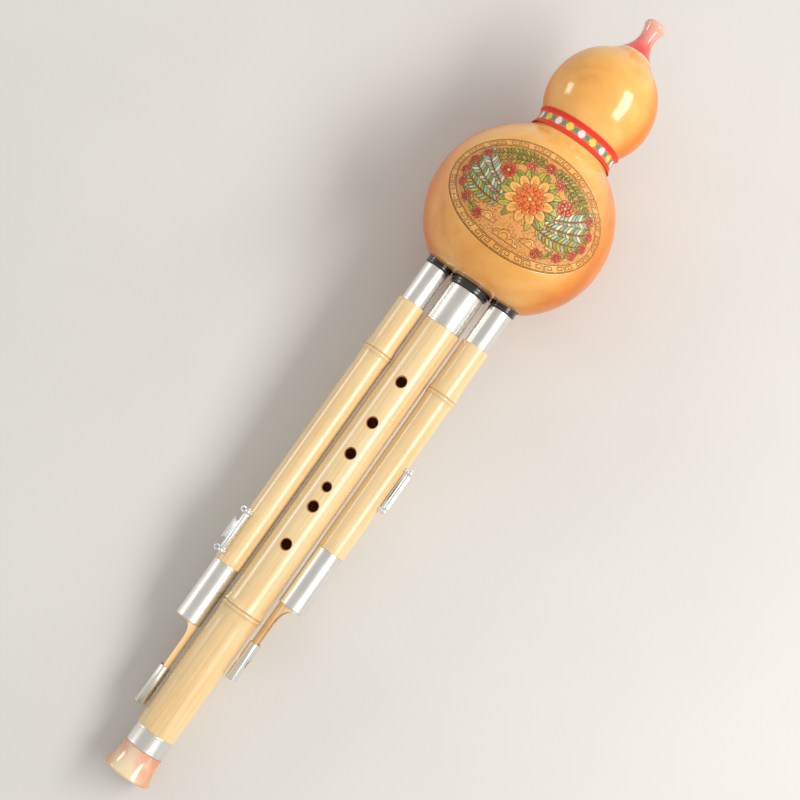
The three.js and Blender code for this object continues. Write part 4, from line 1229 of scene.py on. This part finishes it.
def petal_distance(s, t, foot, turn, length, width):
    """Below 0 inside a rounded petal that is widest near its tip."""
    x, y = grown(s, t, foot, turn)
    share = np.clip(x / length, 0, 1)
    tip = np.clip(1 - np.clip(2 * share - 1, 0, 1) ** 2.4, 0, 1)
    half = width / 2 * (0.35 + 0.65 * share) * np.sqrt(tip)
    return np.maximum(np.abs(y) - half, np.maximum(-x, x - length))


def oval_distance(s, t, inset=0.0):
    a, b = OVAL[0] - inset, OVAL[1] - inset
    k = np.sqrt((s / a) ** 2 + (t / b) ** 2)
    slope = np.sqrt((s / a ** 2) ** 2 + (t / b ** 2) ** 2)
    return k * (k - 1) / np.maximum(slope, 1e-9)


RED, DEEP_RED, PINK = linear(216, 24, 52), linear(176, 16, 40), linear(228, 92, 100)
ORANGE, GREEN, LIME = linear(232, 104, 34), linear(72, 132, 56), linear(146, 178, 56)
TEAL, PALE, CREAM = linear(96, 176, 168), linear(206, 224, 196), linear(240, 196, 120)
DEEP_ORANGE = linear(224, 78, 28)
VEINED = 7


# One scroll of the border, over its pitch and the border's width
SCROLL = ((0.08, 0.16), (0.92, 0.16), (0.92, 0.84), (0.28, 0.84), (0.28, 0.42), (0.66, 0.42), (0.66, 0.6))


def meander(carving):
    """A ring of square scrolls between two cut lines, the old border of such gourds."""
    s, t = carving.s, carving.t
    ring = oval_distance(s, t)
    a, b = OVAL[0] - BORDER / 2, OVAL[1] - BORDER / 2
    turns = np.linspace(0, 2 * math.pi, 721)
    steps = np.hypot(np.diff(a * np.cos(turns)), np.diff(b * np.sin(turns)))
    length = np.concatenate([[0], np.cumsum(steps)])
    along = np.interp(np.mod(np.arctan2(t / b, s / a), 2 * math.pi), turns, length)
    pitch = length[-1] / SCROLLS
    x = np.mod(along, pitch) / pitch
    x = np.where(np.mod(np.floor(along / pitch), 2) > 0, 1 - x, x)
    y = np.clip(-ring / BORDER, 0, 1)
    path = [(px * pitch, py * BORDER) for px, py in SCROLL]
    nearest = path_distance(x * pitch, y * BORDER, path)
    carving.cut(soft(nearest - 0.23) * ((ring < 0) & (ring > -BORDER)), 0.6, 0.92)
    carving.groove(ring, 0.5)
    carving.groove(ring + BORDER, GROOVE_WIDTH)


def mirrored(angle, side):
    return angle if side > 0 else math.pi - angle


def polar(centre, reach, angle):
    return centre[0] + reach * math.cos(angle), centre[1] + reach * math.sin(angle)


def fern(carving, start, corner, end, leaves, length, colours, side):
    """A curved stem with paired leaflets, mirrored where side is -1."""
    points = curve_points(start, corner, end, leaves)
    for i in range(1, leaves + 1):
        here = points[i]
        step = here - points[i - 1]
        heading = math.atan2(step[1], step[0])
        size = length * (0.55 + 0.45 * math.sin(math.pi * i / (leaves + 1)))
        foot = (side * here[0], here[1])
        for turn in (0.85, -0.85):
            angle = mirrored(heading + turn, side)
            distance = leaf_distance(carving.s, carving.t, foot, angle, size, size * 0.36)
            carving.shape(distance, colours[i % len(colours)], -0.05, 0.85)
    first, middle, last = ((side * p[0], p[1]) for p in (start, corner, end))
    carving.stroke(first, last, 0.35, middle)


def blossom(carving, centre, radius, petals, colours, turn=0.0, heart=CREAM):
    """A flower of two rings of petals round a heart. A petal without a colour keeps that of the skin."""
    for ring, (share, colour) in enumerate(zip((1.0, 0.66), colours)):
        reach, count = radius * share, petals - ring
        for i in range(count):
            angle = turn + ring * 0.4 + 2 * math.pi * i / count
            width = reach * min(1.05, 5.6 / count)
            distance = petal_distance(carving.s, carving.t, centre, angle, reach, width)
            carving.shape(distance, colour, 0.02, 0.92)
            if reach > VEINED:
                vein(carving, centre, angle, reach)
    distance = np.hypot(carving.s - centre[0], carving.t - centre[1]) - radius * 0.2
    carving.shape(distance, heart, 0.05, 0.8)


def vein(carving, centre, angle, reach):
    """Three cut lines that fan out along a petal."""
    for turn in (-0.09, 0, 0.09):
        near, far = reach * 0.55, reach * (0.86 - abs(turn))
        carving.stroke(polar(centre, near, angle + turn * 0.6), polar(centre, far, angle + turn), 0.2)


def leaf_pair(carving, foot, heading, length, colours):
    """Two leaves that part from one foot."""
    for turn, colour in zip((0.45, -0.45), colours):
        distance = leaf_distance(carving.s, carving.t, foot, heading + turn, length, length * 0.42)
        carving.shape(distance, colour, -0.03, 0.85)
        carving.stroke(foot, polar(foot, length * 0.8, heading + turn), 0.18)


def cloud(carving, centre, size, side):
    """A traditional scroll cloud, left in the colour of the skin."""
    lobes = ((0, 0, 1.0), (1.25, -0.15, 0.72), (-1.2, -0.2, 0.66), (2.2, -0.45, 0.45))
    lobes = [(centre[0] + side * dx * size, centre[1] + dy * size, share * size) for dx, dy, share in lobes]
    distance = np.full(len(carving.s), 1e9)
    for x, y, reach in lobes:
        distance = np.minimum(distance, np.hypot(carving.s - x, carving.t - y) - reach)
    floor = centre[1] - size * 0.55
    distance = np.maximum(distance, floor - carving.t)
    carving.shape(distance, None, 0.03, width=0.34)
    for x, y, reach in lobes[:3]:
        ring = np.abs(np.hypot(carving.s - x, carving.t - y) - reach * 0.55)
        angle = np.arctan2(carving.t - y, side * (carving.s - x))
        carving.cut(soft(ring - 0.16, 0.2) * (angle > -0.6) * (distance < -0.3), 0.6)


# Places in the picture's right half, as (right, up) from its middle in millimetres
CLOUDS = (((12.5, -17.4), 2.6), ((24, -13.2), 2.2))
FRONDS = (
    ((9, -3), (25, 2), (32.5, 13.5), 13, 6.4, (PALE, TEAL, TEAL)),
    ((10, -6), (25, -4), (35.5, 5), 13, 6.0, (TEAL, PALE, GREEN)),
    ((9, -9), (22, -11), (34, -4), 12, 5.6, (GREEN, LIME, TEAL)),
    ((1.5, 21.8), (15, 21.5), (29, 13), 15, 4.9, (LIME, GREEN, GREEN)),
    ((2.5, 18.6), (13, 18.5), (23, 11), 10, 4.0, (GREEN, LIME)),
)
WREATH = (38.6, 21.6)
WREATH_TURNS = (33, 14, -5, -23, -42, -62)
LEAF_LAG = 9.5


def wreath_place(side, turn):
    """A place on the wreath at a turn in degrees from the picture's right, and the turn in radians."""
    angle = math.radians(turn)
    return (side * WREATH[0] * math.cos(angle), WREATH[1] * math.sin(angle)), angle


def picture(carving):
    """A peony between fern fronds in a wreath of red blossoms: a plain layout, mirrored about its middle."""
    inside = soft(carving.frame)
    carving.ground = np.maximum(carving.ground, inside)
    carving.height = carving.height * (1 - inside) - RECESS * inside
    cloud(carving, (0, -21.2), 3.3, 1)
    for side in (-1, 1):
        for place, size in CLOUDS:
            cloud(carving, (side * place[0], place[1]), size, side)
        for frond in FRONDS:
            fern(carving, *frond, side)
        for turn in WREATH_TURNS[:-1]:
            centre, angle = wreath_place(side, turn - LEAF_LAG)
            for heading in (angle + 1.9, angle - 1.9):
                leaf_pair(carving, centre, mirrored(heading, side), 4.2, (GREEN, LIME))
        for turn in WREATH_TURNS:
            centre, _ = wreath_place(side, turn)
            blossom(carving, centre, 2.9, 6, (RED, DEEP_RED), 0.3 * side, PINK)
        for heading in (-0.9, -0.35, 0.25, 0.8, 1.3):
            x, y = polar((0, 1), 8.5, heading)
            leaf_pair(carving, (side * x, y), mirrored(heading, side), 8.0, (GREEN, LIME))
        blossom(carving, (side * 17, 7.5), 4.4, 7, (RED, DEEP_RED), 0.5)
        blossom(carving, (side * 8.5, 15.6), 2.8, 6, (PINK, RED), 0.2)
    leaf_pair(carving, (-1.5, 20.4), math.pi, 4.5, (GREEN, LIME))
    leaf_pair(carving, (1.5, 20.4), 0, 4.5, (LIME, GREEN))
    blossom(carving, (0, 20.4), 3.2, 7, (RED, DEEP_RED), 0.2)
    blossom(carving, (0, 0.6), 12.4, 11, (None, ORANGE), 0.16, DEEP_RED)
    blossom(carving, (0, 0.6), 5.6, 7, (DEEP_ORANGE, ORANGE), 0.3)


def make_gourd():
    before, outer = gourd_outline(0, 26)
    neck = curve_points(outer[-1], NECK_CORNER, NECK, 10)[1:]
    inner_before, inner = gourd_outline(GOURD_WALL, 10)
    # The points lie densely over the medallion, so that its relief is part of the mesh.
    fine = 0.27 / LOWER_RADIUS
    half_turn = (OVAL[0] + 0.5) / LOWER_RADIUS
    centre = math.radians(OVAL_TURN)
    dense = np.arange(centre - half_turn, centre + half_turn, fine)
    sparse = np.linspace(centre + half_turn, centre - half_turn + 2 * math.pi, 90)
    tilt = oval_basis()[3]
    low, high = (LOWER_RADIUS * math.sin(tilt + end * OVAL[1] / LOWER_RADIUS) + end * 0.6 for end in (-1, 1))
    turns = np.arange(math.asin(low / LOWER_RADIUS), math.asin(high / LOWER_RADIUS), fine)
    outside = [(0.3, SEAT), *before, *outer, *neck]
    outline = [p for p in outside if p[1] < LOWER_BULB + low - 0.3]
    outline += arc((0, LOWER_BULB), LOWER_RADIUS, LOWER_RADIUS, turns)
    outline += [p for p in outside if p[1] > LOWER_BULB + high + 0.3]
    outline += [(NECK_HOLE, NECK[1]), (NECK_HOLE, inner[-1][1] - 2)]
    outline += [(0.3, SEAT + GOURD_BASE), *inner_before, *inner][::-1]
    verts, faces = lathe_mesh(outline, np.concatenate([dense, sparse[:-1]]))
    gourd = new_object("gourd_body", verts, faces)
    outward(gourd)
    start = SEAT - 3
    main_across = MAIN_TENON + FIT + MAIN_SOCKET_WALL + FIT
    drone_across = DRONE_TENON + FIT + DRONE_SOCKET_WALL + FIT
    cutters = [rod_mesh(main_across, start, SEAT + GOURD_BASE + 3, 0, 0, 64)]
    for x in (-DRONE_OFFSET, DRONE_OFFSET):
        cutters.append(rod_mesh(drone_across, start, DRONE_SEAT + SOCKET_DEPTH, x, 0, 64))
        cutters.append(rod_mesh(DRONE_COLLAR[1] + FIT, start, DRONE_SEAT, x, 0, 64))
    boolean(gourd, cutters, solver="FAST")
    carve(gourd)
    tone_gourd(gourd)
    resharpen(gourd, GOURD_SHARP)
    rest_on_floor(gourd)
    finish_piece(gourd, "gourd", ["gourd_shell"], "gourd_skin", gourd_skin)
    return gourd


def eased(share):
    """0 below 0 and 1 above 1, with a smooth slope between them."""
    share = np.clip(share, 0, 1)
    return share * share * (3 - 2 * share)


def tone_gourd(gourd):
    """Marks the flanks and back, darkened as painted shade, and the neck, where the varnish is thin."""
    x, u, z = read_points(gourd).T
    pale = 0.75 * eased((u - (NECK[1] - 3.2)) / 2.6)
    away = 1 - z / np.maximum(np.hypot(x, z), 1e-6)
    # painted shade: darker where the skin turns down and away from the top
    mark(gourd, "flank_shade", eased((away - 0.26) / 0.45) * (1 - pale))
    mark(gourd, "pale", pale)


def rest_on_floor(obj):
    """Flattens the skin where it touches the floor, by less than a tenth of a millimetre."""
    co = read_points(obj)
    place = world(co)
    low = place[:, 2] < 0
    place[low, 2] = 0
    co[low] = (place[low] - np.array(LIE.translation)) @ np.array(LIE.to_3x3()) / MM
    write_points(obj, co)


def carve(gourd):
    """Cuts the medallion into the skin and marks its ground, lines and paint."""
    co = read_points(gourd)
    s, t, radius = skin_place(co)
    near = (np.abs(radius - LOWER_RADIUS) < 0.02) & (co[:, 2] > 0) & (oval_distance(s, t) < 1.5)
    index = np.nonzero(near)[0]
    carving = Carving(s[index], t[index])
    picture(carving)
    meander(carving)
    fade = np.clip(-(oval_distance(carving.s, carving.t) - 0.6) / 0.3, 0, 1)
    out = co[index] - np.array([0, LOWER_BULB, 0])
    out /= np.linalg.norm(out, axis=1)[:, None]
    co[index] += out * (np.minimum(carving.height, 0) * fade)[:, None]
    write_points(gourd, co)
    for name in ("ground", "line", "cover"):
        values = np.zeros(len(co))
        values[index] = getattr(carving, name) * fade
        mark(gourd, name, values)
    paint = np.ones((len(co), 4), np.float32)
    paint[index, :3] = carving.paint
    layer = gourd.data.attributes.new("paint", "FLOAT_COLOR", "POINT")
    layer.data.foreach_set("color", paint.ravel())


def make_ribbon():
    """A woven band that follows the hollow of the waist, with its ends meeting at the back."""
    waist_x = WAIST_RADIUS + WAIST_ROUND
    inner = WAIST_ROUND - RIBBON_GAP
    turn = RIBBON_WIDTH / 2 / inner
    wide, segments = 17, 180
    length = 2 * math.pi * WAIST_RADIUS
    verts, places = [], []
    for layer, reach in enumerate((inner, inner - RIBBON_THICKNESS)):
        for j, angle in enumerate(np.linspace(-math.pi, math.pi, segments + 1)):
            for k, t in enumerate(np.linspace(-turn, turn, wide)):
                lift = RIBBON_RIPPLE * (abs(t) / turn) ** 6 * math.sin(7 * angle + 2.0) * layer
                r = waist_x - (reach - lift) * math.cos(t)
                verts.append((r * math.sin(angle), WAIST + (reach - lift) * math.sin(t), r * math.cos(angle)))
                places.append((length * j / segments, k / (wide - 1)))
    size, last = wide * (segments + 1), wide * segments
    rows = [*range(0, last, wide), *range(size, size + last, wide)]
    faces = [(a, a + 1, a + 1 + wide, a + wide) for row in rows for a in range(row, row + wide - 1)]
    faces += [(a, a + wide, a + wide + size, a + size) for k in (0, wide - 1) for a in range(k, last, wide)]
    faces += [(a, a + 1, a + 1 + size, a + size) for row in (0, last) for a in range(row, row + wide - 1)]
    band = new_object("waist_band", verts, faces, smooth=False)
    uvs = np.array([places[v] for face in faces for v in face], np.float32)
    band.data.uv_layers.new(name="band").data.foreach_set("uv", uvs.ravel())
    band.data.shade_smooth()
    outward(band)
    finish_piece(band, "gourd", ["waist_ribbon"], "woven_trim", ribbon_cloth)
    return band


def make_mouthpiece():
    seat, tip = MOUTH_SEAT, MOUTH_SEAT + MOUTH_LENGTH
    neck = (MOUTH_NECK[0], seat + MOUTH_NECK[1])
    flare = (MOUTH_FLARE[0], seat + MOUTH_FLARE[1])
    tenon, foot = NECK_HOLE - FIT, seat - MOUTH_TENON
    outline = [(MOUTH_BORE, foot), (tenon, foot), (tenon, seat), (MOUTH_SEAT_RADIUS - 0.1, seat)]
    outline += curve_points((MOUTH_SEAT_RADIUS, seat + 0.15), (MOUTH_NECK[0], seat + MOUTH_BEND), neck, 18)
    outline += curve_points(neck, (MOUTH_NECK[0], (neck[1] + flare[1]) / 2), flare, 12)[1:]
    outline += curve_points(flare, (MOUTH_FLARE[0], tip), (MOUTH_FLARE[0] - MOUTH_TIP_ROUND, tip), 8)[1:]
    outline += curve_points((MOUTH_BORE + 0.6, tip), (MOUTH_BORE, tip), (MOUTH_BORE, tip - 0.6), 4)
    mouth = lathe("mouthpiece_resin_end", outline, DRONE_AROUND, sharp=RESIN_SHARP)
    finish_piece(mouth, "gourd", ["mouthpiece"], "mouthpiece_resin", mouth_resin)


make_main_pipe()
make_main_ferrules()
make_bell()
make_sockets()
for side, drone in DRONES.items():
    make_drone_pipe(side, drone)
    make_drone_bands(side, drone)
    make_key(side, drone)
gourd = make_gourd()
band = make_ribbon()
make_mouthpiece()


# Floor and light

def add_floor():
    half = 3.0
    verts = [(-half, -half, 0), (half, -half, 0), (half, half, 0), (-half, half, 0)]
    floor = new_object("floor", verts, [(0, 1, 2, 3)], smooth=False)
    n = Nodes("pale_floor")
    grain = n.noise(n.coordinates((6, 6, 6), False), 1.0, 3, 0.5)
    colour = n.ramp(grain, [(0.3, linear(216, 214, 210)), (0.7, linear(222, 220, 216))])
    floor.data.materials.append(n.set(Base_Color=colour, Roughness=0.55))


def add_light(name, direction, distance, size, power, colour):
    """A soft box over the middle of the instrument. size is along its axis and across it."""
    data = bpy.data.lights.new(name, "AREA")
    data.shape = "RECTANGLE"
    data.size, data.size_y = size
    data.energy = power
    data.color = colour
    light = bpy.data.objects.new(name, data)
    back = (LEAN @ Vector(direction)).normalized()
    axis = LEAN @ Vector((0, 1, 0))
    along = (axis - back * axis.dot(back)).normalized()
    turn = Matrix((along, back.cross(along), back)).transposed()
    light.matrix_world = Matrix.Translation(Vector((0, 0, 0.04)) + back * distance) @ turn.to_4x4()
    bpy.context.scene.collection.objects.link(light)


def add_lights():
    add_light("key_softbox", (0.69, 0.312, 0.653), 1.6, (1.55, 0.55), 22, (1, 0.98, 0.95))
    add_light("left_softbox", (-0.942, -0.018, 0.334), 1.6, (0.5, 0.35), 3.5, (1, 0.98, 0.95))
    world_settings = bpy.data.worlds.new("studio")
    world_settings.use_nodes = True
    background = world_settings.node_tree.nodes["Background"]
    background.inputs["Color"].default_value = (0.93, 0.92, 0.90, 1)
    background.inputs["Strength"].default_value = 0.62
    bpy.context.scene.world = world_settings


add_floor()
add_lights()

view = bpy.context.scene.view_settings
view.view_transform = "Standard"


def corners(box):
    return [[float(v) for v in corner] for corner in box]
